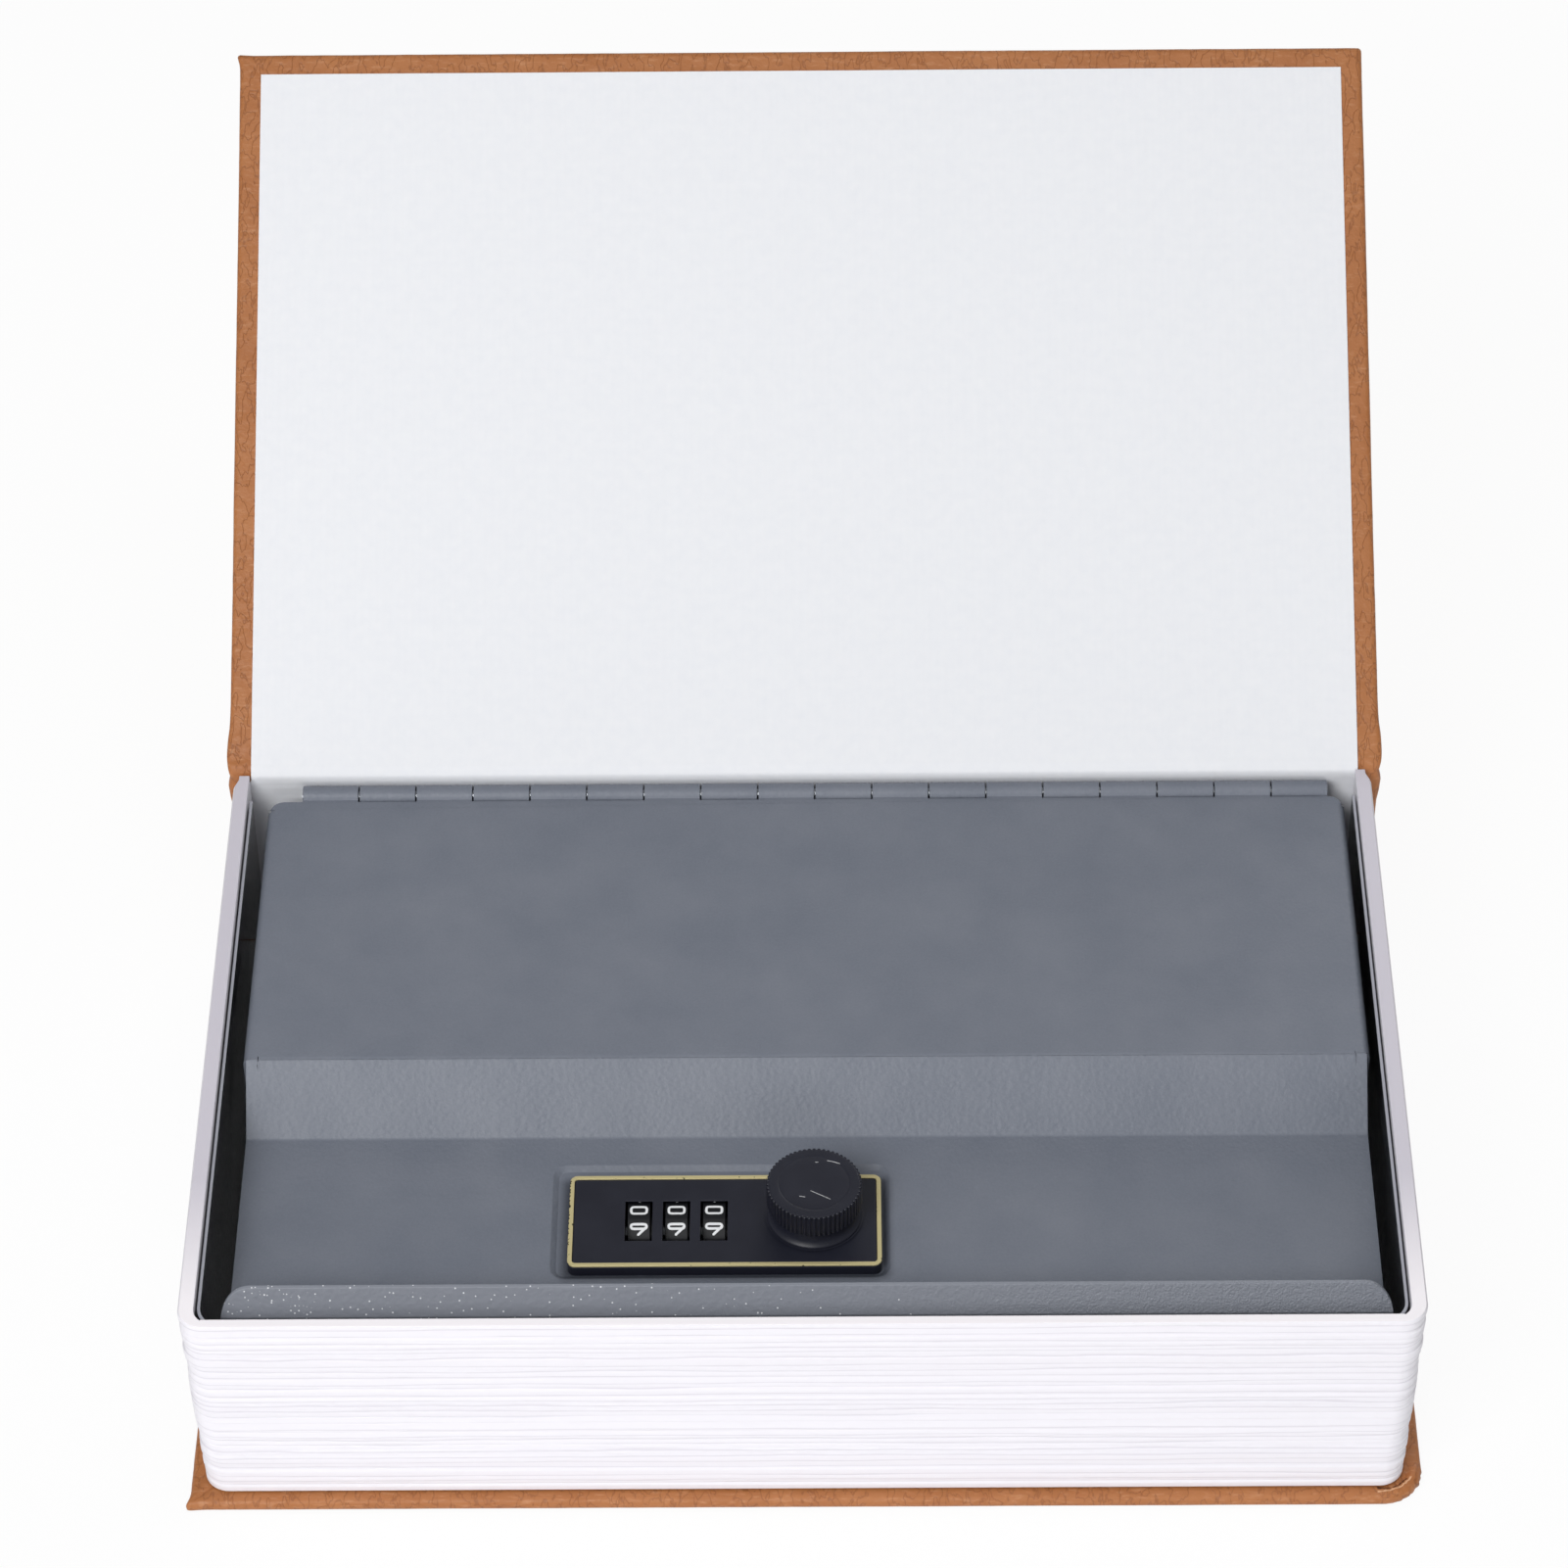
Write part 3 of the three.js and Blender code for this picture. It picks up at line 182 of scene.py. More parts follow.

# %% A heavier coat on the lip with painted light and painted glints, and painted shade round the lock plate
LIP_BACK = -61.7 * MM
PLATE_MIDDLE, PLATE_HALF = (-15.55 * MM, -38.8 * MM, 0.0), (30.5 * MM, 11.85 * MM, 1.0)
RECESS_SHADE_WIDTH = 3 * MM
axes = add("SeparateXYZ", {0: place})
on_lip = add(
    "MapRange", {"From Min": LIP_BACK, "From Max": LIP_BACK - 0.1 * MM, "Value": axes.outputs[1]}
)
right_end = add("MapRange", {"From Min": -0.02, "From Max": 0.09, "Value": axes})
curdled = add("Math", {0: on_lip, 1: right_end}, operation="MULTIPLY")
curdled_peel = add("Math", {0: curdled, 1: speckle}, operation="MULTIPLY")
raise_pattern(shader, curdled_peel, 0.27, skin)
# the lip is painted paler as painted light, and its white dots towards the left are painted glints
lip_painted_light = blend_colours(shader, on_lip, clouds, "#8b8f99")
glint_cells = add("TexVoronoi", {"Scale": per_metre(0.75), "Vector": place})
glint_dots = add(
    "MapRange", {"From Min": 0.24, "From Max": 0.17, "Value": glint_cells.outputs["Distance"]}
)
glint_chance = add("MapRange", {"From Min": 0.03, "From Max": -0.11, "To Max": 0.42, "Value": axes})
glint_pick = add(
    "Math", {0: add("SeparateColor", {0: glint_cells.outputs["Color"]}), 1: glint_chance},
    operation="LESS_THAN",
)
glint_share = add("Math", {0: glint_dots, 1: glint_pick}, operation="MULTIPLY")
lip_glint_mask = add("Math", {0: glint_share, 1: on_lip}, operation="MULTIPLY")
painted_glints = blend_colours(shader, lip_glint_mask, lip_painted_light, "#f4f6fa")
# painted shade: the enamel is painted darker within a few millimetres of the lock plate
from_plate = add("VectorMath", {0: place, 1: PLATE_MIDDLE}, operation="SUBTRACT")
folded = add("VectorMath", {0: from_plate}, operation="ABSOLUTE")
outside = add("VectorMath", {0: folded, 1: PLATE_HALF}, operation="SUBTRACT")
kept = add("VectorMath", {0: outside}, operation="MAXIMUM")
gap = add("VectorMath", {0: kept}, operation="LENGTH")
recess_shade = add(
    "MapRange", {"From Min": RECESS_SHADE_WIDTH, "From Max": 0.0, "To Max": 0.75, "Value": gap.outputs[1]},
    interpolation_type="SMOOTHSTEP",
)
blend_colours(shader, recess_shade, painted_glints, "#2c2f38")
print("enamel pebbles", PEBBLE_MM, "mm")

# %% [markdown]
# ## Leather cloth
# Case binding uses a paper-backed cloth with a pressed leather grain: fine dark creases, which are
# the lines where a smooth noise passes its middle value, over soft pebbles of two millimetres. Pale
# flecks are rubbed spots, and large areas drift in tone. Round the worn front right corner, a dark
# line of painted shade follows the groove of the fold, and a pale line runs along the ridge beside
# it.

# %% Caramel leather cloth
HALF_WIDTH, FORE_EDGE, WORN = 120.0, -79.0, 8.0
WORN_CENTRE = (HALF_WIDTH - WORN, FORE_EDGE + WORN)
CREASE_MM = 2.0
leather, add, shader, place = new_finish(
    "caramel_leather_cloth", "#a66a3b", 0.5, specular_ior_level=0.4
)
lying = add("Mapping", {"Scale": (0.3, 1.0, 1.0), "Vector": place})
crossing = add("Mapping", {"Scale": (1.0, 0.45, 0.45), "Vector": place})
crinkle = add("TexNoise", {**grained(CREASE_MM, 2.0, crossing), "Distortion": 0.3})
either_side = add("Math", {0: crinkle, 1: 0.5}, operation="SUBTRACT")
off_crease = add("Math", {0: either_side}, operation="ABSOLUTE")
pebble, drift, fleck = [
    add("TexNoise", grained(grain_mm, detail, way))
    for grain_mm, detail, way in ((2.4, 3.0, place), (11, 4.0, place), (0.7, 3.0, lying))
]
tone = blend_colours(shader, drift, "#a06134", "#b77949")
pale = add("MapRange", {"From Min": 0.55, "From Max": 0.8, "To Max": 0.6, "Value": fleck})
flecked = blend_colours(shader, pale, tone, "#c8926a")
deep = add("MapRange", {"From Min": 0.03, "From Max": 0.0, "To Max": 0.42, "Value": off_crease})
creased = blend_colours(shader, deep, flecked, "#6e3c1e")
corner_place = (WORN_CENTRE[0] * MM, WORN_CENTRE[1] * MM, 0.0)
to_corner = add("VectorMath", {0: place, 1: corner_place}, operation="SUBTRACT")
corner_axes = add("SeparateXYZ", {0: to_corner})
corner_reach = add("VectorMath", {0: to_corner}, operation="LENGTH").outputs[1]
right_side = add("Math", {0: corner_axes, 1: -1 * MM}, operation="GREATER_THAN")
front_side = add("Math", {0: corner_axes.outputs[1], 1: -3 * MM}, operation="LESS_THAN")
both = add("Math", {0: right_side, 1: front_side}, operation="MULTIPLY")
# the dark line in the fold's groove is painted shade; a pale line is drawn along the ridge beside
# it
worn = creased
# how far the groove and the ridge lie from the corner's centre, half their width, and their colour
for away, half_width, colour in ((6.2 * MM, 0.3 * MM, "#552e16"), (7.1 * MM, 0.2 * MM, "#d5a47c")):
    ring = add("Math", {0: corner_reach, 1: away, 2: half_width}, operation="COMPARE")
    arc = add("Math", {0: both, 1: ring}, operation="MULTIPLY")
    worn = blend_colours(shader, arc, worn, colour)
sunk = add("Math", {0: deep, 1: -1.0}, operation="MULTIPLY")
low = raise_pattern(shader, pebble, 0.3)
raise_pattern(shader, sunk, 0.14, low)
print("leather creases about", CREASE_MM, "mm apart")

# %% [markdown]
# ## Papers
# The endpaper is a white uncoated sheet with a faint linen emboss. Real threads would be 0.3 mm
# apart, too fine to show, so the two crossed waves are 0.8 mm apart and very shallow. Its cut edge
# shows a warmer core, so the edge of the sheet has its own cream finish. The boards are grey-brown
# binder's board.

# %% White linen paper, its cut edge, and the board inside the covers
THREAD_MM = 0.8
WAVES_PER_SCALE = 6  # a wave texture makes about six bands at a scale of one
linen_paper, add, shader, place = new_finish(
    "white_linen_paper", "#eceef2", 0.75, specular_ior_level=0.25
)
weave = {
    "Scale": per_metre(THREAD_MM) / WAVES_PER_SCALE, "Distortion": 1.5, "Detail": 2.0,
    "Detail Scale": 1.5, "Vector": place,
}
warp, weft = [add("TexWave", weave, bands_direction=way).outputs["Fac"] for way in "XZ"]
threads = add("Math", {0: warp, 1: weft}, operation="ADD")
pulp = add("TexNoise", grained(2.2, 4.0, place))
blend_colours(shader, pulp, "#e9ebf0", "#f0f1f4")
low = raise_pattern(shader, threads, 0.012)
raise_pattern(shader, pulp, 0.03, low)

cut_edge = mottled("cream_cut_paper_edge", "#f8ede1", 0.8, 0.8, 2.0, ("#efe2d2", "#fbf3ea"))
grey_board = mottled("grey_binders_board", "#a29784", 0.9, 1.2, 5.0, ("#8f8573", "#b3a995"), 0.05)
print("papers:", linen_paper.name, cut_edge.name, grey_board.name)

# %% [markdown]
# ## Moulded white page frame and its black liner
# The false page block is white high-impact polystyrene from a mould whose walls were cut to look
# like trimmed leaves. It is satin, and light spreads inside it, so its ribs shade softly: their
# normals are bent part of the way back to the wall's. Thin dark lines of painted shade, where
# bundles of leaves part, are the cell edges of a one-dimensional Voronoi of the height. Its walls'
# flat rims are painted brighter at the front and darker towards the back, as painted light and
# shade, and a line of painted shade runs along its foot. The liner is a thin glossy black sheet
# with a painted highlight along its cut top edge, a little wavy, which is what makes its
# reflections wander.

# %% White polystyrene leaves and black sheet
LEAF_BUNDLE_MM = 1.7
FOOT_SHADE_TOP, LINER_TOP = 3.1 * MM, 49.5 * MM
leaf_plastic, add, shader, place = new_finish(
    "white_moulded_polystyrene", "#f1eff5", 0.55, specular_ior_level=0.3
)
flat = add("Mapping", {"Scale": (1, 1, 12), "Vector": place})
slow = add("TexNoise", grained(30, 2.0, flat))
thin = add("Mapping", {"Scale": (0.3, 0.3, 75), "Vector": place})
leaves = add("TexNoise", {**grained(60, 3.0, thin), "Roughness": 0.7})
upward = add("SeparateXYZ", {0: place})
wander = add("Math", {0: slow, 1: 0.0012}, operation="MULTIPLY")
level = add("Math", {0: upward.outputs[2], 1: wander}, operation="ADD")
leaf_gap = add(
    "TexVoronoi", {"Scale": per_metre(LEAF_BUNDLE_MM), "W": level}, voronoi_dimensions="1D",
    feature="DISTANCE_TO_EDGE",
)
# painted shade: thin darker lines where bundles of leaves part
dark_line = add("MapRange", {"From Min": 0.12, "From Max": 0.0, "Value": leaf_gap})
walls = blend_colours(shader, dark_line, "#f0eef4", "#dedbe3")
facing = add("SeparateXYZ", {0: add("TexCoord").outputs["Normal"]})
on_top = add("Math", {0: facing.outputs[2], 1: 0.9}, operation="GREATER_THAN")
# painted light and shade: the top rims are painted brighter at the front and darker towards the
# back
behind = add("MapRange", {"From Min": -70 * MM, "From Max": -38 * MM, "Value": upward.outputs[1]})
rim_light_and_shade = blend_colours(shader, behind, "#fdf9fd", "#d3cfd9")
rim = blend_colours(shader, on_top, walls, rim_light_and_shade)
# painted shade: a dark line along the foot, where the frame meets the cover
foot = add(
    "MapRange",
    {"From Min": FOOT_SHADE_TOP + 0.1 * MM, "From Max": FOOT_SHADE_TOP - 0.1 * MM, "Value": upward.outputs[2]},
)
blend_colours(shader, foot, rim, "#7d7e76")
sunk = add("Math", {0: dark_line, 1: -1.0}, operation="MULTIPLY")
surface = add("NewGeometry").outputs["Normal"]
bent_normal = add("VectorMath", {0: surface, 1: (1.0, 1.0, 0.45)}, operation="MULTIPLY")
soft_normal = add("VectorMath", {0: bent_normal}, operation="NORMALIZE")
low = raise_pattern(shader, sunk, 0.04, soft_normal)
raise_pattern(shader, leaves, 0.03, low)

black_sheet, add, shader, place = new_finish(
    "glossy_black_plastic_sheet", "#131316", 0.16, coat_weight=0.3
)
height = add("SeparateXYZ", {0: place}).outputs[2]
# painted highlight: a pale line along the liner's cut top edge
top_edge_highlight = add(
    "MapRange",
    {"From Min": LINER_TOP - 0.1 * MM, "From Max": LINER_TOP + 0.1 * MM, "Value": height},
)
blend_colours(shader, top_edge_highlight, "#131316", "#a9abb4")
waves = add("TexNoise", grained(22, 1.0, place))
scuffs = add("TexNoise", grained(1.4, 5.0, place))
vary_roughness(shader, scuffs, 0.1, 0.3)
raise_pattern(shader, waves, 0.5)
print("frame and liner:", leaf_plastic.name, black_sheet.name)

# %% [markdown]
# ## The lock's finishes
# Lock plate, knob and wheels are black ABS with a fine spark-eroded skin, so they are dark but
# never mirror-like. The plate's edge carries a hot-stamped gold foil, which wears off in specks
# where fingers reach it, mostly on its left side. The digits are white pad-printed ink.

# %% Black ABS, gold foil and white ink
GOLD_EDGE_LEFT = -45.8 * MM
black_abs, add, shader, place = new_finish(
    "black_moulded_abs", "#1a1c22", 0.4, specular_ior_level=0.4
)
spark = add("TexNoise", grained(0.35, 3.0, place))
touch = add("TexNoise", grained(6, 3.0, place))
vary_roughness(shader, touch, 0.32, 0.5)
blend_colours(shader, touch, "#1a1b26", "#21232f")
raise_pattern(shader, spark, 0.008)

wheel_black = mottled(
    "black_moulded_acetal", "#0f1015", 0.5, 1.5, 3.0, ("#0c0d11", "#14151b"), 0.01,
    specular_ior_level=0.3,
)

gold_foil, add, shader, place = new_finish(
    "worn_gold_stamping_foil", "#ddd09c", 0.42, metallic=0.45
)
chips = add("TexNoise", grained(0.8, 4.0, place))
across = add("SeparateXYZ", {0: place})
left_end = add(
    "MapRange",
    {
        "From Min": GOLD_EDGE_LEFT - 0.3 * MM, "From Max": GOLD_EDGE_LEFT + 0.3 * MM, "To Min": 0.5,
        "To Max": 0.7, "Value": across,
    },
)
worn = add("Math", {0: chips, 1: left_end}, operation="GREATER_THAN")
blend_colours(shader, worn, "#ddd09c", "#2a281f")
raise_pattern(shader, chips, 0.02)

white_ink = mottled("white_pad_printed_ink", "#eceef0", 0.5, 0.5, 2.0, ("#e2e4e8", "#f6f7f8"))
# painted highlight: the knob's top marks are pale to stand in for their glints
mark_glint_paint = mottled(
    "painted_glints_on_engraved_marks", "#b9bcc2", 0.4, 0.5, 3.0, ("#3a3c42", "#f2f3f5")
)
print("lock finishes:", black_abs.name, gold_foil.name, white_ink.name)

# %% [markdown]
# ## Metals inside
# The hinge pin, latch, screws and spring are steel with a bright zinc plate, which shows small
# crystals of grey. Nut and lever are turned brass, where the tool leaves fine rings. The sleeves in
# the wheels are brass too, but blackened, so that nothing shines through the windows. The housing
# is black nylon.

# %% Zinc, brass and nylon
zinc, add, shader, place = new_finish("zinc_plated_steel", "#b9bdc2", 0.32, metallic=1.0)
crystals = add("TexVoronoi", {"Scale": per_metre(1.6), "Vector": place})
blend_colours(shader, crystals.outputs["Color"], "#a9adb3", "#c6cacf")
vary_roughness(shader, crystals.outputs["Color"], 0.26, 0.42)

brass, add, shader, place = new_finish("turned_brass", "#cfa75e", 0.28, metallic=1.0)
rings = add(
    "TexWave", {"Scale": per_metre(0.4) / WAVES_PER_SCALE, "Distortion": 0.6, "Vector": place},
    bands_direction="X",
)
blend_colours(shader, rings.outputs["Fac"], "#c49a50", "#d6b06b")
raise_pattern(shader, rings.outputs["Fac"], 0.01)

black_brass = mottled(
    "blackened_brass", "#17161a", 0.4, 1.5, 3.0, ("#121115", "#1f1d20"), metallic=0.3
)

nylon = mottled("black_moulded_nylon", "#1d1e20", 0.5, 0.6, 3.0, ("#191a1c", "#232427"), 0.02)
print("inside:", zinc.name, brass.name, nylon.name)

# %% [markdown]
# ## Tools for shapes
# One function turns points in millimetres into a mesh object. One bakes the modifiers and smooths
# every edge that isn't meant to be sharp. One carries a finished piece: it rides on its body and
# stands for its CAD node.

# %% Make, settle and carry a piece


def new_piece(name, points, faces, *finishes):
    mesh = bpy.data.meshes.new(name)
    mesh.from_pydata([[c * MM for c in p] for p in points], [], faces)
    for finish in finishes:
        mesh.materials.append(finish)
    piece = bpy.data.objects.new(name, mesh)
    bpy.context.scene.collection.objects.link(piece)
    return piece


def grid(rows, columns, start=0):
    """Faces between rows of points."""
    firsts = [start + r * columns + i for r in range(rows - 1) for i in range(columns - 1)]
    return [(a, a + 1, a + columns + 1, a + columns) for a in firsts]


def bands(rings, count):
    """Faces between closed rings of this many points each."""
    pairs = [(i, (i + 1) % count) for i in range(count)]
    return [
        tuple(r * count + k for k in (i, i + count, j + count, j))
        for r in range(rings - 1)
        for i, j in pairs
    ]


def weld(piece, distance_mm=0.002):
    """Joins points that lie on each other and drops the faces that this closes."""
    work = bmesh.new()
    work.from_mesh(piece.data)
    bmesh.ops.remove_doubles(work, verts=work.verts, dist=distance_mm * MM)
    bmesh.ops.dissolve_degenerate(work, edges=work.edges, dist=distance_mm * MM)
    work.to_mesh(piece.data)
    work.free()


def bake(piece):
    """Turns what the modifiers make into the piece's own plain mesh."""
    bpy.context.view_layer.update()
    graph = bpy.context.evaluated_depsgraph_get()
    baked = bpy.data.meshes.new_from_object(piece.evaluated_get(graph))
    piece.modifiers.clear()
    piece.data = baked


def settle(piece, sharp_degrees=38):
    """Bakes, and shades smooth all but the edges sharper than this."""
    bake(piece)
    piece.data.shade_smooth()
    piece.data.set_sharp_from_angle(angle=math.radians(sharp_degrees))
    return piece


def carry(piece, body, slot_name, *nodes):
    """The piece moves with a body and stands for these nodes. slot_name is not used."""
    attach(piece, body)
    if nodes:
        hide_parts(*nodes)
    print(piece.name, "on", body, "faces", len(piece.data.polygons))


def dress(finish, *node_names):
    for name in node_names:
        mesh = frame["nodes"][name].data
        mesh.materials.clear()
        mesh.materials.append(finish)


# %% [markdown]
# ## Leather wraps
# Each cover is a board that the cloth goes round: over the outside, round the edge, and 12 mm in on
# the inner face, where the endpaper hides its raw edge. A cube with rounded edges would lose the
# mitred corners, the pleats and the hollow inside, so rings of points follow the sheet: from the
# turned-in edge, round a soft rim, and then a grid covers the outside. They are in flat coordinates
# (x, along, lift), and another function lays them in place.

# %% Rings of a cloth wrap
BOARD_WRAP, TURN_IN, RIM, CLOTH = 2.7, 12.0, 1.15, 0.55
NEAR_CORNER = [0, 0.5, 1.2, 2, 3, 4, 5, 6, 7, 8, 10, 12, 15, 18, 21, 24]


def side_places(low, high, dense=()):
    """Where points stand along a side: close together at its ends and wherever dense asks."""
    near = np.array(NEAR_CORNER, float)
    middle = np.arange(low + 27, high - 25, 3.0)
    rows = np.unique(np.round(np.concatenate([low + near, middle, dense, high - near]), 4))
    return rows[np.concatenate([[True], np.diff(rows) > 0.12])]


def squeezed(places, inset):
    """Moves both ends of a side in by inset, and leaves its middle alone."""
    low, high, reach = places[0], places[-1], NEAR_CORNER[-1]
    out = places.copy()
    share = (reach - inset) / reach
    head, tail = places < low + reach, places > high - reach
    out[head] = low + inset + (places[head] - low) * share
    out[tail] = high - inset - (high - places[tail]) * share
    return out


def rounded(x, along, inset):
    """Pulls a ring's square corners onto arcs."""
    for side, end, way, radius in CORNERS:
        left = radius - inset
        if left < 0.05:
            continue
        a = (side * x - (HALF_WIDTH - radius)) / left
        b = (way * (along - end) + radius) / left
        if a > 0 and b > 0:
            a, b = min(a, 1), min(b, 1)
            x = side * (HALF_WIDTH - radius + left * a * math.sqrt(1 - b * b / 2))
            along = end + way * (left * b * math.sqrt(1 - a * a / 2) - radius)
    return x, along


def ring_points(xs, us):
    """A closed ring of points round a rectangle, counter-clockwise."""
    bottom = [(x, us[0]) for x in xs[:-1]]
    right = [(xs[-1], u) for u in us[:-1]]
    top = [(x, us[-1]) for x in xs[:0:-1]]
    left = [(xs[0], u) for u in us[:0:-1]]
    return bottom + right + top + left


RIM_TURNS = [math.radians(a) for a in (22.5, 45, 67.5, 90)]
RINGS = [(inset, BOARD_WRAP) for inset in (TURN_IN, 10.5, 9, 7.5, 6, 4.6, 3.4, 2.6, 1.9, RIM)]
RINGS += [(RIM - RIM * math.sin(t), BOARD_WRAP - RIM + RIM * math.cos(t)) for t in RIM_TURNS]
RINGS += [(RIM - RIM * math.cos(t), RIM - RIM * math.sin(t)) for t in [0.0] + RIM_TURNS]
print("rings:", len(RINGS))

# %% Cloth wrap from its rings


def cloth_wrap(name, dense_rows):
    """The cloth's skin. shape_sheet moves a flat point, on_case puts it in space."""
    xs, us = side_places(-HALF_WIDTH, HALF_WIDTH), side_places(FORE_EDGE, SHEET_END, dense_rows)
    points = []
    for inset, lift in RINGS:
        for x, along in ring_points(squeezed(xs, inset), squeezed(us, inset)):
            points.append(on_case(*shape_sheet(*rounded(x, along, inset), lift, inset)))
    faces = bands(len(RINGS), len(points) // len(RINGS))
    start = len(points)
    for x in squeezed(xs, RIM):
        for along in squeezed(us, RIM):
            points.append(on_case(*shape_sheet(*rounded(x, along, RIM), 0.0, RIM)))
    faces += grid(len(xs), len(us), start)
    piece = new_piece(name, points, faces, leather)
    weld(piece)
    thick = piece.modifiers.new("cloth thickness", "SOLIDIFY")
    thick.thickness, thick.offset = CLOTH * MM, -1.0
    return settle(piece, 60)


def uneven(x, along):
    """How far cloth glued by hand is off flat."""
    slow = noise.noise(Vector((x * 0.05, along * 0.05, 3.7)))
    quick = noise.noise(Vector((x * 0.35, along * 0.35, 9.1)))
    return 0.07 * slow + 0.05 * quick


def hump(distance, width):
    return math.exp(-((distance / width) ** 2))


def mitre(x, along, inset):
    """How far the cloth dips where two turned-in edges meet on the diagonal of a corner."""
    dip = 0.0
    for side, end, way, _ in MITRED:
        off_line = abs((HALF_WIDTH - side * x) - way * (end - along)) / math.sqrt(2)
        if inset <= TURN_IN and max(HALF_WIDTH - side * x, way * (end - along)) < TURN_IN + 1:
            dip = max(dip, (0.3 if way < 0 else 0.1) * hump(off_line, 0.28))
    return dip


# %% [markdown]
# ## One sheet of cloth for the whole case
# A case binding is covered with a single sheet. It starts at the front edge of the back cover,
# folds up the spine through a soft bend, thins to a groove of two glued layers at the joint, and
# runs on over the open front cover. In flat coordinates it is a plain long rectangle, and a table
# of stations bends it at the joint.

# %% Lay the sheet in place
HINGE = np.array([0.0, 77.0, 52.0])
LEAN = math.radians(35.6)
ALONG = np.array([0.0, math.cos(LEAN), math.sin(LEAN)])
FACE = np.array([0.0, -math.sin(LEAN), math.cos(LEAN)])
SPINE_INSIDE, SPINE_TOP = 76.3, 49.9
BEND = BOARD_WRAP * math.pi / 2
JOINT_START = SPINE_INSIDE + BEND + SPINE_TOP - BOARD_WRAP


def smooth_line(stations, steps):
    """A smooth line through stations of several values each, sampled evenly between them."""
    rows = np.array(stations, float)
    padded = np.vstack([2 * rows[0] - rows[1], rows, 2 * rows[-1] - rows[-2]])
    out = []
    for i in range(1, len(rows)):
        a, b, c, d = padded[i - 1 : i + 3]
        for t in np.arange(0, 1, 1 / steps):
            cubic = (2 * a - 5 * b + 4 * c - d) * t**2 + (3 * b - a - 3 * c + d) * t**3
            out.append(0.5 * (2 * b + (c - a) * t + cubic))
    return np.array(out + [rows[-1]])


def cover_point(along, lift):
    """y and z of a point on the open cover, from the hinge line and its inner face."""
    return tuple((HINGE + along * ALONG + lift * FACE)[1:])


def skin_normals(line):
    """The direction across a line of y and z points, to its left."""
    step = np.gradient(line, axis=0)
    step /= np.linalg.norm(step, axis=1)[:, None]
    return np.column_stack([-step[:, 1], step[:, 0]])


JOINT_REACH, COVER_LENGTH = 6.0, 150.0
# y, z and half the thickness of the sheet's two layers
JOINT_STATIONS = [
    (77.65, SPINE_TOP, 1.35), (77.62, 50.7, 1.2), (77.66, 51.3, 0.85), (77.98, 51.85, 0.66),
    (*cover_point(1.9, -0.88), 0.68), (*cover_point(3.1, -1.12), 0.95),
    (*cover_point(4.4, -1.33), 1.28), (*cover_point(JOINT_REACH, -1.35), 1.35),
]
joint_line = smooth_line(JOINT_STATIONS, 6)
joint_across = skin_normals(joint_line[:, :2])
joint_steps = np.linalg.norm(np.diff(joint_line[:, :2], axis=0), axis=1)
joint_at = JOINT_START + np.concatenate([[0], np.cumsum(joint_steps)])
JOINT_END = joint_at[-1]
SHEET_END = JOINT_END + COVER_LENGTH


def on_case(x, along, lift):
    """Lays a flat point in place: back cover, front cover, joint, or the bend into the spine."""
    if along <= SPINE_INSIDE:
        return (x, along, lift)
    if along >= JOINT_END:
        out = HINGE + (along - JOINT_END + JOINT_REACH) * ALONG + (lift - BOARD_WRAP) * FACE
        return out + np.array([x, 0, 0])
    if along > JOINT_START:
        rows = (*joint_line.T, *joint_across.T)
        y, z, half, ny, nz = [np.interp(along, joint_at, row) for row in rows]
        out = (2 * lift / BOARD_WRAP - 1) * half
        return (x, y + ny * out, z + nz * out)
    turn = min((along - SPINE_INSIDE) / BOARD_WRAP, math.pi / 2)
    out = BOARD_WRAP - lift
    rise = max(0.0, along - SPINE_INSIDE - BEND)
    return (x, SPINE_INSIDE + out * math.sin(turn), BOARD_WRAP - out * math.cos(turn) + rise)


print("sheet is", 2 * HALF_WIDTH, "by", round(SHEET_END - FORE_EDGE, 1), "mm before its turn-ins")

# %% [markdown]
# ## Wear, pleats and swelling
# Four things keep the sheet from looking machined. Hand-glued cloth drifts by less than a tenth of
# a millimetre. Where turned-in edges meet in a corner there is a mitred crease, and on the left a
# small pulled ear. The front right corner of the back cover is rounded and worn, with the cloth
# gathered in small pleats under a raised fold. And near the joint the sheet swells half a
# millimetre past the boards.

# %% Shape the sheet
# x sign, end, end sign and radius of each corner
CORNERS = [
    (-1, FORE_EDGE, -1, 0.6), (1, FORE_EDGE, -1, WORN),
    (-1, SHEET_END, 1, 0.7), (1, SHEET_END, 1, 0.9),
]
MITRED = [corner for corner in CORNERS if corner[3] < WORN]
EARS = [(FORE_EDGE, -0.3, 0.8), (SHEET_END, 0.3, 0.7)]
FOLD, DIP, PLEAT, SWELL = 0.7, 0.45, 0.16, 0.6


def pleats(x, along, inset):
    """The lift of the worn corner's raised fold, and of its small radial pleats."""
    dx, dy = x - WORN_CENTRE[0], along - WORN_CENTRE[1]
    if dx < -3 or dy > 3:
        return 0.0, 0.0
    angle = math.degrees(math.atan2(-dy, dx))
    inside = max(0.0, 1 - (abs(angle - 45) / 52) ** 4)
    fold = FOLD * hump(inset - 1.5, 0.5) - DIP * hump(inset - 2.5, 0.5)
    radial = math.sin(math.radians(angle * 30)) + 0.6 * math.sin(math.radians(angle * 17 + 40))
    return inside * fold, inside * PLEAT * radial


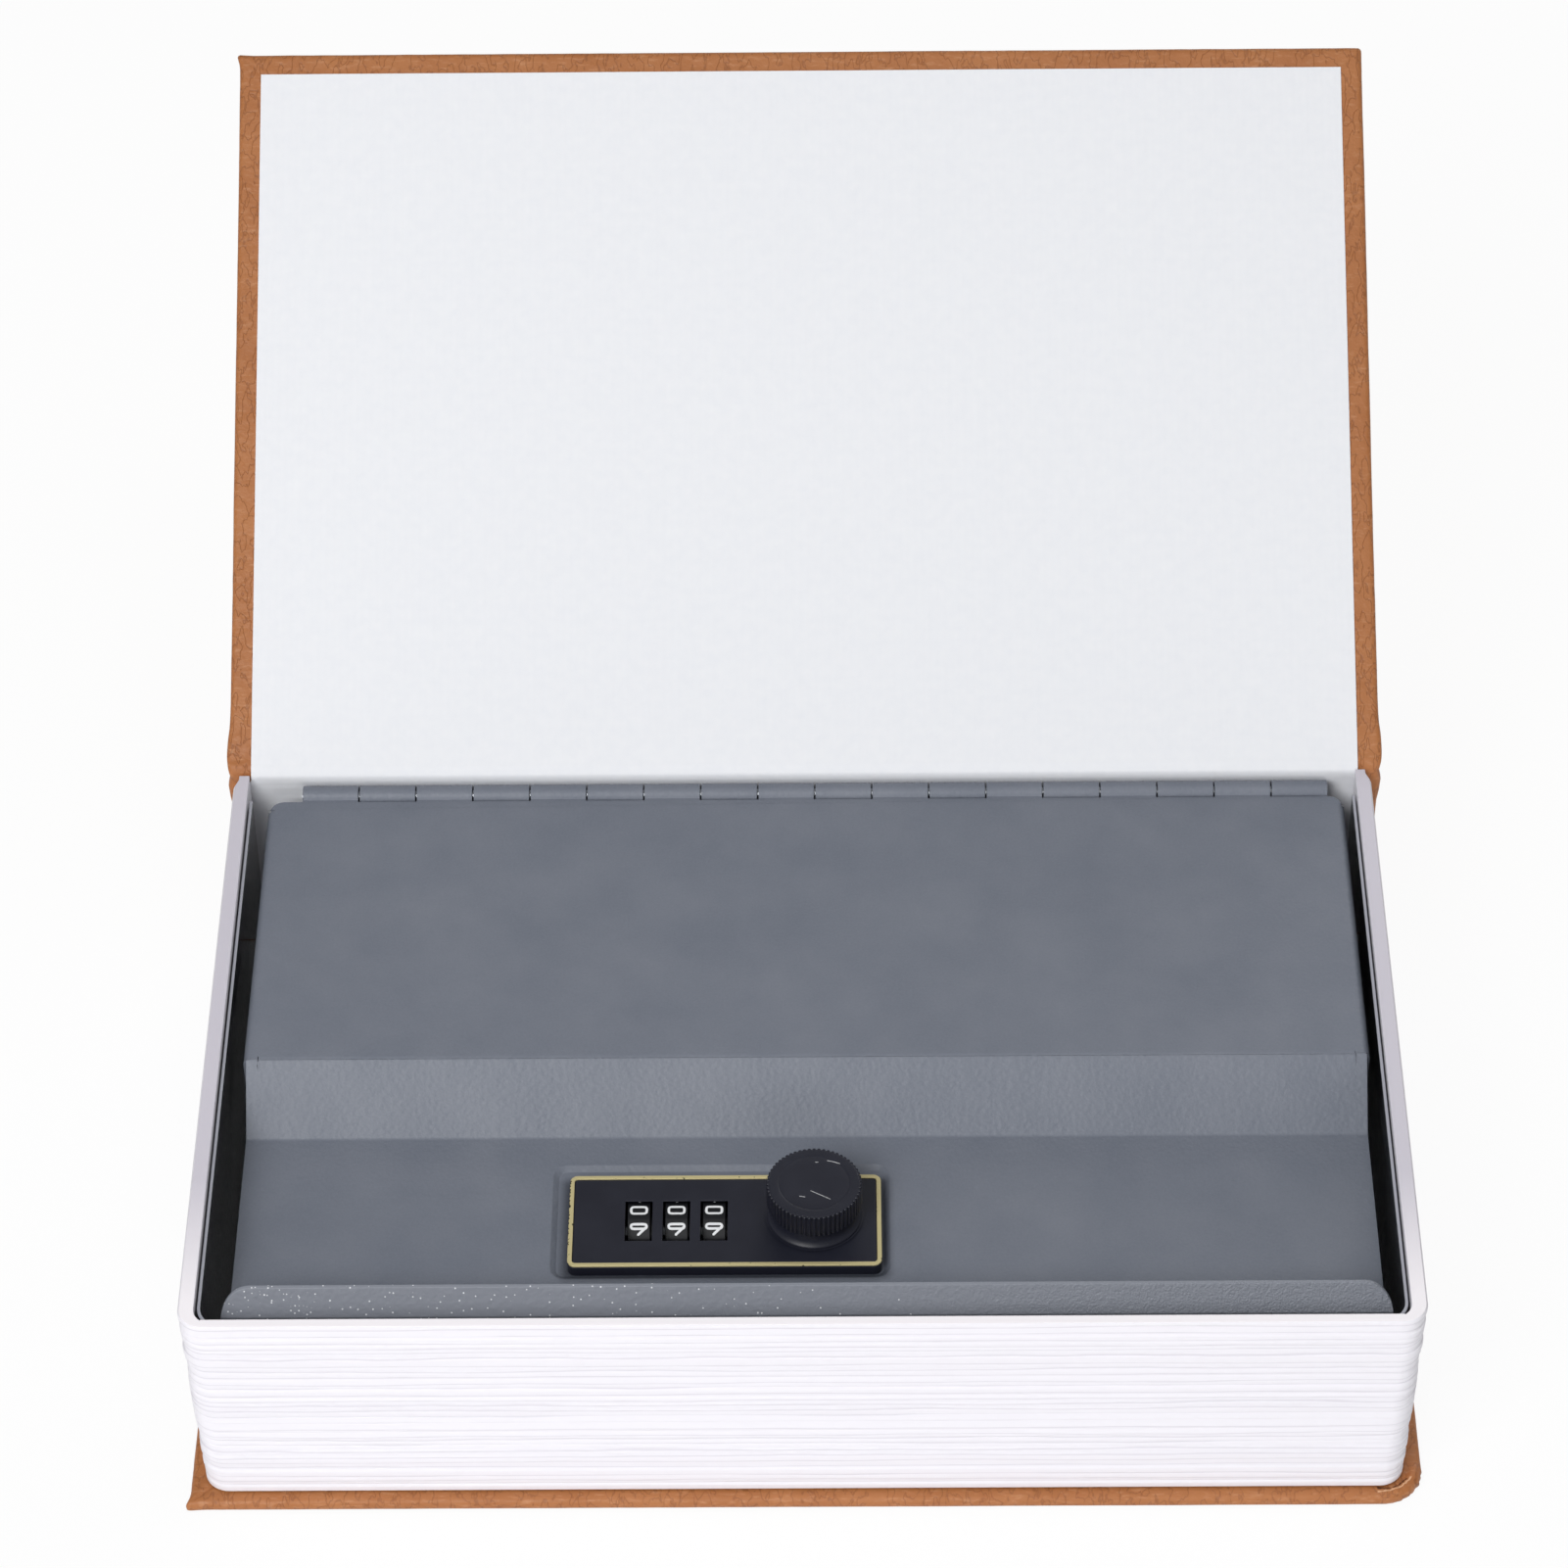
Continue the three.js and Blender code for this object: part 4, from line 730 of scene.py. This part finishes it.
def shape_sheet(x, along, lift, inset):
    """Moves a flat point of the sheet by its drift, folds, mitres, swell and ears."""
    drift = uneven(x, along)
    fold, radial = pleats(x, along, inset)
    if lift > BOARD_WRAP - 0.01:
        lift += fold + radial - abs(drift) - mitre(x, along, inset)
    elif lift < 0.01:
        lift += abs(drift)
    else:
        x *= 1 + (drift + radial) / HALF_WIDTH
        if abs(along - SPINE_INSIDE) > 100:
            along += math.copysign(drift, along - SPINE_INSIDE)
    past = along - JOINT_END + JOINT_REACH
    swell = SWELL * (hump(past - 3.5, 5.0) - hump(past + 5.0, 3.5))
    x += math.copysign(swell, x) * min(1, max(0, (abs(x) - 100) / 15))
    for end, slip, size in EARS:
        ear = size * math.exp(-(((x + HALF_WIDTH) ** 2 + (along - end) ** 2) / 3.0))
        x, along = x - ear, along + slip * ear
    return x, along, lift


# %% Make the sheet, bent at the joint
spine_rows = np.arange(SPINE_INSIDE - 1.6, SPINE_INSIDE + BEND + 1.7, 0.53)
joint_rows = np.arange(JOINT_START - 3.0, JOINT_END + 3.0, 0.25)
dense_rows = np.concatenate([spine_rows, joint_rows])
case_cloth = cloth_wrap("case_leather_cloth", dense_rows)
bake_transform(case_cloth)
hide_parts("back_and_spine_leather", "cover_joint_strip", "front_cover_leather")
print(len(case_cloth.data.polygons), "faces, joint", round(JOINT_END - JOINT_START, 1), "mm wide")

# %% [markdown]
# ## Endpaper
# One sheet of white paper covers the inside of the cover, crosses the joint and runs down the
# inside of the spine. It hides the raw edge of the turned-in cloth, and curves through the joint's
# bend.

# %% Endpaper from the spine's foot to the cover's far edge
PAPER_HALF, PAPER_END, PAPER = 115.4, 151.4, 0.22
PAPER_ON_SPINE, PAPER_LIFT = 76.14, 0.2
bend_stations = [
    (PAPER_ON_SPINE, 46.0), (75.96, 48.0), (75.76, 49.6), (75.78, 50.6), (76.02, 51.2),
    cover_point(0.0, 0.18), cover_point(0.9, PAPER_LIFT),
]
spine_rows = [(PAPER_ON_SPINE, z) for z in np.arange(2.9, 45, 2.5)]
cover_rows = [cover_point(s, PAPER_LIFT) for s in np.linspace(1.9, PAPER_END, 62)]
paper_line = np.vstack([spine_rows, smooth_line(bend_stations, 5), cover_rows])
paper_across = skin_normals(paper_line)
paper_halves = np.interp(paper_line[:, 1], [45.0, 50.0], [117.6, PAPER_HALF])
paper_shares = np.linspace(-1, 1, 70)
points = []
for (y, z), (ny, nz), half in zip(paper_line, paper_across, paper_halves):
    for x in paper_shares * half:
        lift = 0.05 * noise.noise(Vector((x * 0.03, y * 0.03, z * 0.03)))
        points.append((x, y + ny * lift, z + nz * lift))
faces = grid(len(paper_line), len(paper_shares))
endpaper = new_piece("front_endpaper_sheet", points, faces, linen_paper, cut_edge)
thick = endpaper.modifiers.new("paper thickness", "SOLIDIFY")
thick.thickness, thick.offset, thick.material_offset_rim = PAPER * MM, 0.0, 1
settle(endpaper, 60)
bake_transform(endpaper)
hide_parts("front_endpaper", "spine_lining")
dress(linen_paper, "back_endpaper")
dress(grey_board, "back_cover_board", "spine_board", "front_cover_board")
print("endpaper rows:", len(paper_line))

# %% [markdown]
# ## Rigid pieces with soft edges
# Moulded and folded parts have no knife edges: paint and plastic round them by a few tenths of a
# millimetre, and it is those narrow rounds that catch the light. The CAD shapes are right, so each
# one is copied, its loose triangles are welded and its flat areas merged, and a bevel rounds what
# is left sharp.

# %% Copy, weld and round a CAD node


def body_of_node(node):
    bodies = frame["record"]["behaviour"]["bodies"]
    return next(body for body, members in bodies.items() if node in members)


EDGE_DEGREES = 32
LIP_FRONT, LIP_LOW, LIP_HIGH, LIP_LEAN = -61.5, 42.2, 47.1, 33


def softened(node, name, finish, slot_name, round_mm, reshape=None):
    """A copy of a CAD node, welded, merged and bevelled by this much where its edges are sharp."""
    work = bmesh.new()
    work.from_mesh(frame["nodes"][node].data)
    bmesh.ops.remove_doubles(work, verts=work.verts, dist=0.001 * MM)
    bmesh.ops.dissolve_limit(
        work, angle_limit=math.radians(0.6), verts=work.verts, edges=work.edges
    )
    if reshape:
        reshape(work)
    corners = [[c / MM for c in v.co] for v in work.verts]
    sides = [[v.index for v in f.verts] for f in work.faces]
    work.free()
    piece = new_piece(name, corners, sides, finish)
    piece.data.shade_smooth()
    piece.data.set_sharp_from_angle(angle=math.radians(EDGE_DEGREES))
    edge = piece.modifiers.new("soft edge", "BEVEL")
    edge.width, edge.segments, edge.limit_method = round_mm * MM, 2, "ANGLE"
    edge.angle_limit = math.radians(EDGE_DEGREES)
    edge.use_clamp_overlap, edge.harden_normals = False, True
    split = piece.modifiers.new("split big faces", "TRIANGULATE")
    split.min_vertices, split.keep_custom_normals = 5, True
    bake(piece)
    carry(piece, body_of_node(node), slot_name, node)


def lean_lip(work):
    """Leans the upper part of the lip back, so that its face looks up as a finger pull's does."""
    front = [f for f in work.faces if all(v.co.y < LIP_FRONT * MM for v in f.verts)]
    near = {e for f in front for e in f.edges} | {v for f in front for v in f.verts}
    bmesh.ops.bisect_plane(
        work, geom=front + list(near), plane_co=(0, 0, LIP_LOW * MM), plane_no=(0, 0, 1)
    )
    for v in work.verts:
        if v.co.y < LIP_FRONT * MM:
            drop = min(max(LIP_HIGH * MM - v.co.z, 0), (LIP_HIGH - LIP_LOW) * MM)
            v.co.y -= drop * math.tan(math.radians(LIP_LEAN))


softened("lid", "lid_sheet_steel", grey_enamel, "hammertone_steel", 0.14, reshape=lean_lip)
softened("box_hinge_leaf", "box_hinge_knuckles", grey_enamel, "hammertone_steel", 0.12)
softened("box_body", "box_sheet_steel", grey_enamel, "hammertone_steel", 0.2)
softened("page_frame", "page_block_moulding", leaf_plastic, "page_block", 0.1)
softened("frame_liner", "black_liner_sheet", black_sheet, "black_liner", 0.12)
softened("lock_faceplate", "lock_plate", black_abs, "lock_black", 0.12)
softened("lock_trim", "gold_edge", gold_foil, "gilt_edge", 0.1)
for number in (1, 2, 3):
    softened(f"number_wheel_{number}", f"digit_wheel_{number}", wheel_black, "lock_black", 0.12)
softened("lock_housing", "lock_box_housing", nylon, "housing_black", 0.2)
softened("lock_back_plate", "lock_rear_plate", zinc, "zinc_steel", 0.1)
softened("cam_latch", "cam_latch_bar", zinc, "zinc_steel", 0.15)
softened("latch_strike", "strike_bracket", zinc, "zinc_steel", 0.1)
dress(zinc, "hinge_pin", "wheel_axle", "detent_spring", "locking_bar", "knob_spindle", "cam_washer")
dress(black_brass, "wheel_sleeve_1", "wheel_sleeve_2", "wheel_sleeve_3")
dress(brass, "change_lever", "cam_nut")

# %% [markdown]
# ## Knob
# The knob is turned to look like a bottle cap: a flat top with a faint ring, a band of sixty fine
# teeth, a hollow waist and a flared collar. Its round shape is a profile spun about its axis. Its
# teeth repeat, so Geometry Nodes make them: one tooth is set on every point of a circle.

# %% Knob body, spun from its profile
KNOB_AT, SIDES = (1.9, -37.6), 96
# radius and height, from the top's middle to the collar's underside
KNOB_PROFILE = [
    (0.0, 48.5), (3.0, 48.5), (6.5, 48.5), (6.8, 48.43), (7.1, 48.5), (8.4, 48.52), (8.8, 48.5),
    (8.95, 48.38), (8.97, 48.0), (8.97, 43.9), (8.7, 43.4), (8.4, 42.9), (8.35, 42.2), (8.4, 41.5),
    (8.6, 40.9), (8.95, 40.4), (9.25, 40.08), (9.32, 39.82), (9.2, 39.62), (8.9, 39.58),
    (0.0, 39.58),
]
knob_line = smooth_line(KNOB_PROFILE, 3)
knob_line[:, 0] = np.maximum(knob_line[:, 0], 0)
turns = [2 * math.pi * i / SIDES for i in range(SIDES)]
points = [
    (KNOB_AT[0] + radius * math.cos(turn), KNOB_AT[1] + radius * math.sin(turn), height)
    for radius, height in knob_line
    for turn in turns
]
knob_body = new_piece("knob_turned_body", points, bands(len(knob_line), SIDES), black_abs)
weld(knob_body, 0.001)
settle(knob_body, 50)
carry(knob_body, "knob", "lock_black", "knob")

# %% Knob teeth, one Geometry Nodes tree


def new_tree(name, **inputs):
    """A Geometry Nodes tree's function that adds nodes, what the tree is given, and its end."""
    tree = bpy.data.node_groups.new(name, "GeometryNodeTree")
    tree.interface.new_socket("Geometry", in_out="INPUT", socket_type="NodeSocketGeometry")
    for label, value in inputs.items():
        kind = "NodeSocket" + {float: "Float", int: "Int", tuple: "Vector"}[type(value)]
        label = label.replace("_", " ")
        socket = tree.interface.new_socket(label, in_out="INPUT", socket_type=kind)
        socket.default_value = value
    tree.interface.new_socket("Geometry", in_out="OUTPUT", socket_type="NodeSocketGeometry")
    add = functools.partial(add_node, tree)
    return add, add("NodeGroupInput").outputs, add("NodeGroupOutput")


def finish_tree(ending, geometry, finish):
    """Ends a tree in real geometry with its material."""
    tree = ending.id_data
    real = add_node(tree, "RealizeInstances", {0: geometry})
    painted = add_node(tree, "SetMaterial", {"Material": finish, 0: real})
    tree.links.new(painted.outputs[0], ending.inputs[0])
    return tree


def grown(name, tree, points, larger=1, **inputs):
    """Runs a tree on a few points and keeps a plain mesh. Fine cuts need a larger scale."""
    piece = new_piece(name, [[larger * c for c in p] for p in points], [])
    run = piece.modifiers.new("growth", "NODES")
    run.node_group = tree
    sockets = {s.name: s.identifier for s in tree.interface.items_tree if s.in_out == "INPUT"}
    for label, value in inputs.items():
        run[sockets[label.replace("_", " ")]] = value
    settle(piece, 40)
    piece.data.transform(Matrix.Scale(1 / larger, 4))
    return piece


add, given, ending = new_tree(
    "knob_teeth", Teeth=60, Radius=8.93 * MM, Tooth=0.36 * MM, Height=5.0 * MM
)
circle = add("MeshCircle", {"Vertices": given["Teeth"], "Radius": given["Radius"]})
ridge = add("MeshCylinder", {"Vertices": 10, "Radius": given["Tooth"], "Depth": given["Height"]})
cone = {
    "Vertices": 10, "Radius Top": 0.24 * MM, "Radius Bottom": given["Tooth"], "Depth": 0.12 * MM,
}
tip = add("MeshCone", cone)
half_height = add("Math", {0: given["Height"], 1: 0.5}, operation="MULTIPLY")
tip_place = add("CombineXYZ", {2: half_height})
tip_up = add("Transform", {"Geometry": tip, "Translation": tip_place})
tooth = add("JoinGeometry", {0: [ridge, tip_up]})
ring_of_teeth = add("InstanceOnPoints", {"Points": circle, "Instance": tooth})
seats = add("InstanceOnPoints", {"Points": given["Geometry"], "Instance": ring_of_teeth})
teeth_tree = finish_tree(ending, seats, black_abs)
knob_teeth = grown("knob_teeth", teeth_tree, [(*KNOB_AT, 45.9)])
carry(knob_teeth, "knob", "lock_black")

# %% [markdown]
# ## Digits and marks
# The wheels have ten flats, each with one white digit, printed wide and low so that it reads
# through the shallow window. A digit is a bent stroke of even width with round ends. So is each
# plain mark on the knob's top, which tells the user which way it stands. One function draws both.

# %% A stroke of even width
INK_HALF = 0.25


def eased(path, closed, turns=2):
    """Cuts the corners of a path, twice, so that strokes bend as a pen bends them."""
    path = [np.array(p, float) for p in path]
    for _ in range(turns):
        pairs = list(zip(path, path[1:] + path[:1])) if closed else list(zip(path, path[1:]))
        cut = []
        for a, b in pairs:
            pull = min(0.25, 0.3 / max(np.linalg.norm(b - a), 1e-6))
            cut += [a + (b - a) * pull, b - (b - a) * pull]
        path = cut if closed else [path[0]] + cut[1:-1] + [path[-1]]
    return np.array(path)


def stroke(path, closed, half, low, high):
    """Points and faces of a flat stroke, in (u, v, height), with round ends where it is open."""
    line = eased(path, closed)
    widths = np.full(len(line), half)
    if not closed:
        for _ in range(2):
            way = (line[1] - line[0]) / np.linalg.norm(line[1] - line[0])
            caps = [math.radians(a) for a in (8, 30, 55)]
            line = np.vstack([[line[0] - way * half * math.cos(t) for t in caps], line])
            widths = np.concatenate([[half * math.sin(t) for t in caps], widths])
            line, widths = line[::-1], widths[::-1]
    ahead = np.roll(line, -1, 0) - np.roll(line, 1, 0)
    if not closed:
        ahead[0], ahead[-1] = line[1] - line[0], line[-1] - line[-2]
    ahead /= np.linalg.norm(ahead, axis=1)[:, None]
    side = np.column_stack([-ahead[:, 1], ahead[:, 0]]) * widths[:, None]
    points = []
    for p, s in zip(line, side):
        for q, h in ((p + s, low), (p + s, high), (p - s, high), (p - s, low)):
            points.append((q[0], q[1], h))
    faces, steps = [], len(line)
    for i in range(steps if closed else steps - 1):
        a, b = 4 * i, 4 * ((i + 1) % steps)
        faces += [(a + k, a + (k + 1) % 4, b + (k + 1) % 4, b + k) for k in range(4)]
    if not closed:
        faces += [(3, 2, 1, 0), tuple(4 * (steps - 1) + k for k in range(4))]
    return points, faces


# %% The ten digits
W, H = 1.52, 1.02
RING = [(-W, -H), (W, -H), (W, H), (-W, H)]
NINE_LOOP = [(-W, 0.12), (W, 0.12), (W, H), (-W, H)]
DIGITS = {
    0: [([(x, 0.84 * y + 0.2) for x, y in RING], True)],
    1: [([(-0.75, 0.55), (0.05, H), (0.05, -H)], False)],
    2: [([(-W, 0.5), (-W, H), (W, H), (W, 0.15), (-W, -H), (W, -H)], False)],
    3: [([(-W, H), (W, H), (W, 0.1), (-0.4, 0.1), (W, 0.1), (W, -H), (-W, -H)], False)],
    4: [([(0.75, -H), (0.75, H), (-W, -0.4), (W, -0.4)], False)],
    5: [([(W, H), (-W, H), (-W, 0.2), (W, 0.2), (W, -H), (-W, -H)], False)],
    6: [([(-x, -y) for x, y in NINE_LOOP], True), ([(-W + 0.1, -0.4), (0.2, H)], False)],
    7: [([(-W, H), (W, H), (-0.2, -H)], False)],
    8: [
        ([(-1.25, 0.1), (1.25, 0.1), (1.25, H), (-1.25, H)], True),
        ([(-W, -H), (W, -H), (W, 0.1), (-W, 0.1)], True),
    ],
    9: [(NINE_LOOP, True), ([(W - 0.1, 0.4), (-0.1, -H)], False)],
}
AXLE_Y, AXLE_Z = -35.75, 32.35
FLAT_AT, INK_LIFT, LAYER = 6.3, 0.05, 0.01
WHEEL_XS = (-32.4, -25.05, -17.7)
for number, wheel_x in enumerate(WHEEL_XS, 1):
    points, faces = [], []
    for digit, strokes in DIGITS.items():
        turn = math.radians(36 * digit)
        for layer, (path, closed) in enumerate(strokes):
            top = FLAT_AT + INK_LIFT + LAYER * layer
            flat, sides = stroke(path, closed, INK_HALF, FLAT_AT - INK_LIFT, top)
            faces += [tuple(len(points) + k for k in side) for side in sides]
            for u, v, h in flat:
                y = AXLE_Y + h * math.sin(turn) + v * math.cos(turn)
                points.append((wheel_x + u, y, AXLE_Z + h * math.cos(turn) - v * math.sin(turn)))
    ink = new_piece(f"wheel_{number}_digits", points, faces, white_ink)
    weld(ink, 0.0005)
    settle(ink, 30)
    carry(ink, f"wheel_{number}", "lock_black")

# %% Plain marks on the knob's top
MARK_HALF, MARK_LOW, MARK_HIGH = 0.07, 48.3, 48.54
TOP_MARKS = [
    [(-2.8, -3.4), (-1.8, -3.6)],
    [(-0.66, -2.0), (3.1, -4.2)],
    [(0.3, 5.5), (0.8, 5.5)],
    [(2.6, 5.9), (3.8, 5.6), (5.0, 5.1)],
]
points, faces = [], []
for path in TOP_MARKS:
    flat, sides = stroke(path, False, MARK_HALF, MARK_LOW, MARK_HIGH)
    faces += [tuple(len(points) + k for k in side) for side in sides]
    points += [(KNOB_AT[0] + u, KNOB_AT[1] + v, h) for u, v, h in flat]
# the marks' pale finish is a painted highlight
knob_marks = new_piece("knob_top_marks", points, faces, mark_glint_paint)
weld(knob_marks, 0.0005)
settle(knob_marks, 30)
carry(knob_marks, "knob", "lock_black")

# %% [markdown]
# ## Screws
# Four pan-head screws with a cross recess hold the box to the back board, and two smaller ones hold
# the lock together. They repeat, so one Geometry Nodes tree makes them: head, shank and a cross
# that is cut out, set on the points where the CAD screws stand.

# %% Screws from one tree
TOP_SHARE, BAR_SHARES = 0.78, (1.1, 0.26, 1.0)
add, given, ending = new_tree(
    "cross_recess_screws", Head=3.98 * MM, Head_Height=1.92 * MM, Shank=1.78 * MM,
    Shank_Length=3.3 * MM, Turn=(0.0, 0.0, 0.0),
)
top_radius = add("Math", {0: given["Head"], 1: TOP_SHARE}, operation="MULTIPLY")
cone = {
    "Vertices": 40, "Radius Top": top_radius, "Radius Bottom": given["Head"],
    "Depth": given["Head Height"],
}
head = add("MeshCone", cone)
head_size = add("CombineXYZ", {0: given["Head"], 1: given["Head"], 2: given["Head Height"]})
bar_size = add("VectorMath", {0: head_size, 1: BAR_SHARES}, operation="MULTIPLY")
bar = add("MeshCube", {"Size": bar_size})
lift = add("CombineXYZ", {2: given["Head Height"]})
cross = [
    add("Transform", {"Geometry": bar, "Translation": lift, "Rotation": (0, 0, turn)})
    for turn in (0, math.pi / 2)
]
cut_head = add("MeshBoolean", {"Mesh 1": head, "Mesh 2": cross}, operation="DIFFERENCE")
shank = add(
    "MeshCylinder", {"Vertices": 24, "Radius": given["Shank"], "Depth": given["Shank Length"]}
)
half_shank = add("Math", {0: given["Shank Length"], 1: -0.5}, operation="MULTIPLY")
shank_place = add("CombineXYZ", {2: half_shank})
shank_down = add("Transform", {"Geometry": shank, "Translation": shank_place})
whole = add("JoinGeometry", {0: [cut_head, shank_down]})
turned = add("Transform", {"Geometry": whole, "Rotation": given["Turn"]})
set_out = add("InstanceOnPoints", {"Points": given["Geometry"], "Instance": turned})
screw_tree = finish_tree(ending, set_out, zinc)


def node_middle(node, z_mm):
    low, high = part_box(node)
    return ((low.x + high.x) / 2 / MM, (low.y + high.y) / 2 / MM, z_mm)


box_screws = [f"box_screw_{i}" for i in (1, 2, 3, 4)]
seats = [node_middle(screw, 4.25) for screw in box_screws]
fixing_screws = grown("box_fixing_screws", screw_tree, seats)
carry(fixing_screws, "case", "zinc_steel", *box_screws)
lock_screws = ["lock_screw_1", "lock_screw_2"]
seats = [node_middle(screw, 22.95) for screw in lock_screws]
cover_screws = grown(
    "lock_cover_screws", screw_tree, seats, larger=100, Head=198 * MM, Head_Height=125 * MM,
    Shank=98 * MM, Shank_Length=1480 * MM, Turn=(math.pi, 0.0, 0.0),
)
carry(cover_screws, body_of_node("lock_screw_1"), "zinc_steel", *lock_screws)

# %% [markdown]
# ## Camera, table and light
# The camera stands where the photographer's did: about 1.1 m from the book with a long lens,
# looking down by 43 degrees. The table is white and keeps a faint shadow. A large soft light hangs
# in front at the left and a weaker one stands low, as the front faces are the brightest ones in the
# photograph. A small one overhead makes the enamel glint along the lid's folds, and a low one
# behind lights the spine, which the camera doesn't see.

# %% Camera
CAMERA_PLACE = (0.00559, -0.76543, 0.84285)
LOOKS_DOWN, TURNED, ROLLED = 43.377, 0.666, -0.798
camera_data = bpy.data.cameras.new("photo_camera")
camera_data.lens = 127.18
camera_data.sensor_width = 36.0
camera = bpy.data.objects.new("photo_camera", camera_data)
bpy.context.scene.collection.objects.link(camera)
stands = Matrix.Translation(CAMERA_PLACE)
for degrees, axis in ((TURNED, "Z"), (90 - LOOKS_DOWN, "X"), (ROLLED, "Z")):
    stands = stands @ Matrix.Rotation(math.radians(degrees), 4, axis)
camera.matrix_world = stands
bpy.context.scene.camera = camera
print("camera looks down by", LOOKS_DOWN, "degrees")

# %% Table
REACH, SEEN_WHITE = 4000, 0.93  # the camera sees the table this near to plain white
table_corners = [(REACH * x, REACH * y, 0) for x, y in ((-1, -1), (1, -1), (1, 1), (-1, 1))]
table = new_piece("table_top", table_corners, [(0, 1, 2, 3)])
table.location.z = -0.05 * MM
white_table, add, shader, _ = new_finish("white_laminate_table", "#f4f4f4", 0.8)
seen = add("LightPath")
straight = add(
    "Math", {0: seen.outputs["Is Camera Ray"], 1: seen.outputs["Is Glossy Ray"]},
    operation="MAXIMUM",
)
share = add("Math", {0: straight, 1: SEEN_WHITE}, operation="MULTIPLY")
white = add("Emission")
mixed = add("MixShader", {0: share, 1: shader, 2: white})
tree = white_table.node_tree
tree.links.new(mixed.outputs[0], tree.nodes["Material Output"].inputs["Surface"])
table.data.materials.append(white_table)
print("table reaches", REACH, "mm each way")

# %% Light
# name, place, height of its aim over the origin and size, in metres, and watts
LAMPS = [
    ("front_softbox", (-0.55, -1.05, 1.22), 0.02, (0.8, 0.8), 17.7),
    ("low_front_softbox", (0.35, -1.5, 0.4), 0.02, (1.0, 0.5), 3.6),
    ("overhead_softbox", (0.35, -0.1, 1.5), 0.02, (0.4, 0.4), 2.1),
    ("back_softbox", (0.6, 1.5, 0.55), 0.05, (0.9, 0.9), 6),
]
for name, place, aim, size, watts in LAMPS:
    data = bpy.data.lights.new(name, "AREA")
    data.shape, data.energy = "RECTANGLE", watts
    data.size, data.size_y = size
    lamp = bpy.data.objects.new(name, data)
    bpy.context.scene.collection.objects.link(lamp)
    lamp.location = place
    way = Vector((0, 0, aim)) - Vector(place)
    lamp.rotation_euler = way.to_track_quat("-Z", "Y").to_euler()
WORLD_LIGHT = 0.28
world = bpy.data.worlds.new("white_studio")
bpy.context.scene.world = world
world.use_nodes = True
tree = world.node_tree
air = tree.nodes["Background"]
air.inputs["Color"].default_value = (1, 1, 1, 1)
air.inputs["Strength"].default_value = WORLD_LIGHT
backdrop = add_node(tree, "Background")
seen = add_node(tree, "LightPath")
both = add_node(tree, "MixShader", {0: seen.outputs["Is Camera Ray"], 1: air, 2: backdrop})
tree.links.new(both.outputs[0], tree.nodes["World Output"].inputs["Surface"])
bpy.context.scene.view_settings.view_transform = "Standard"
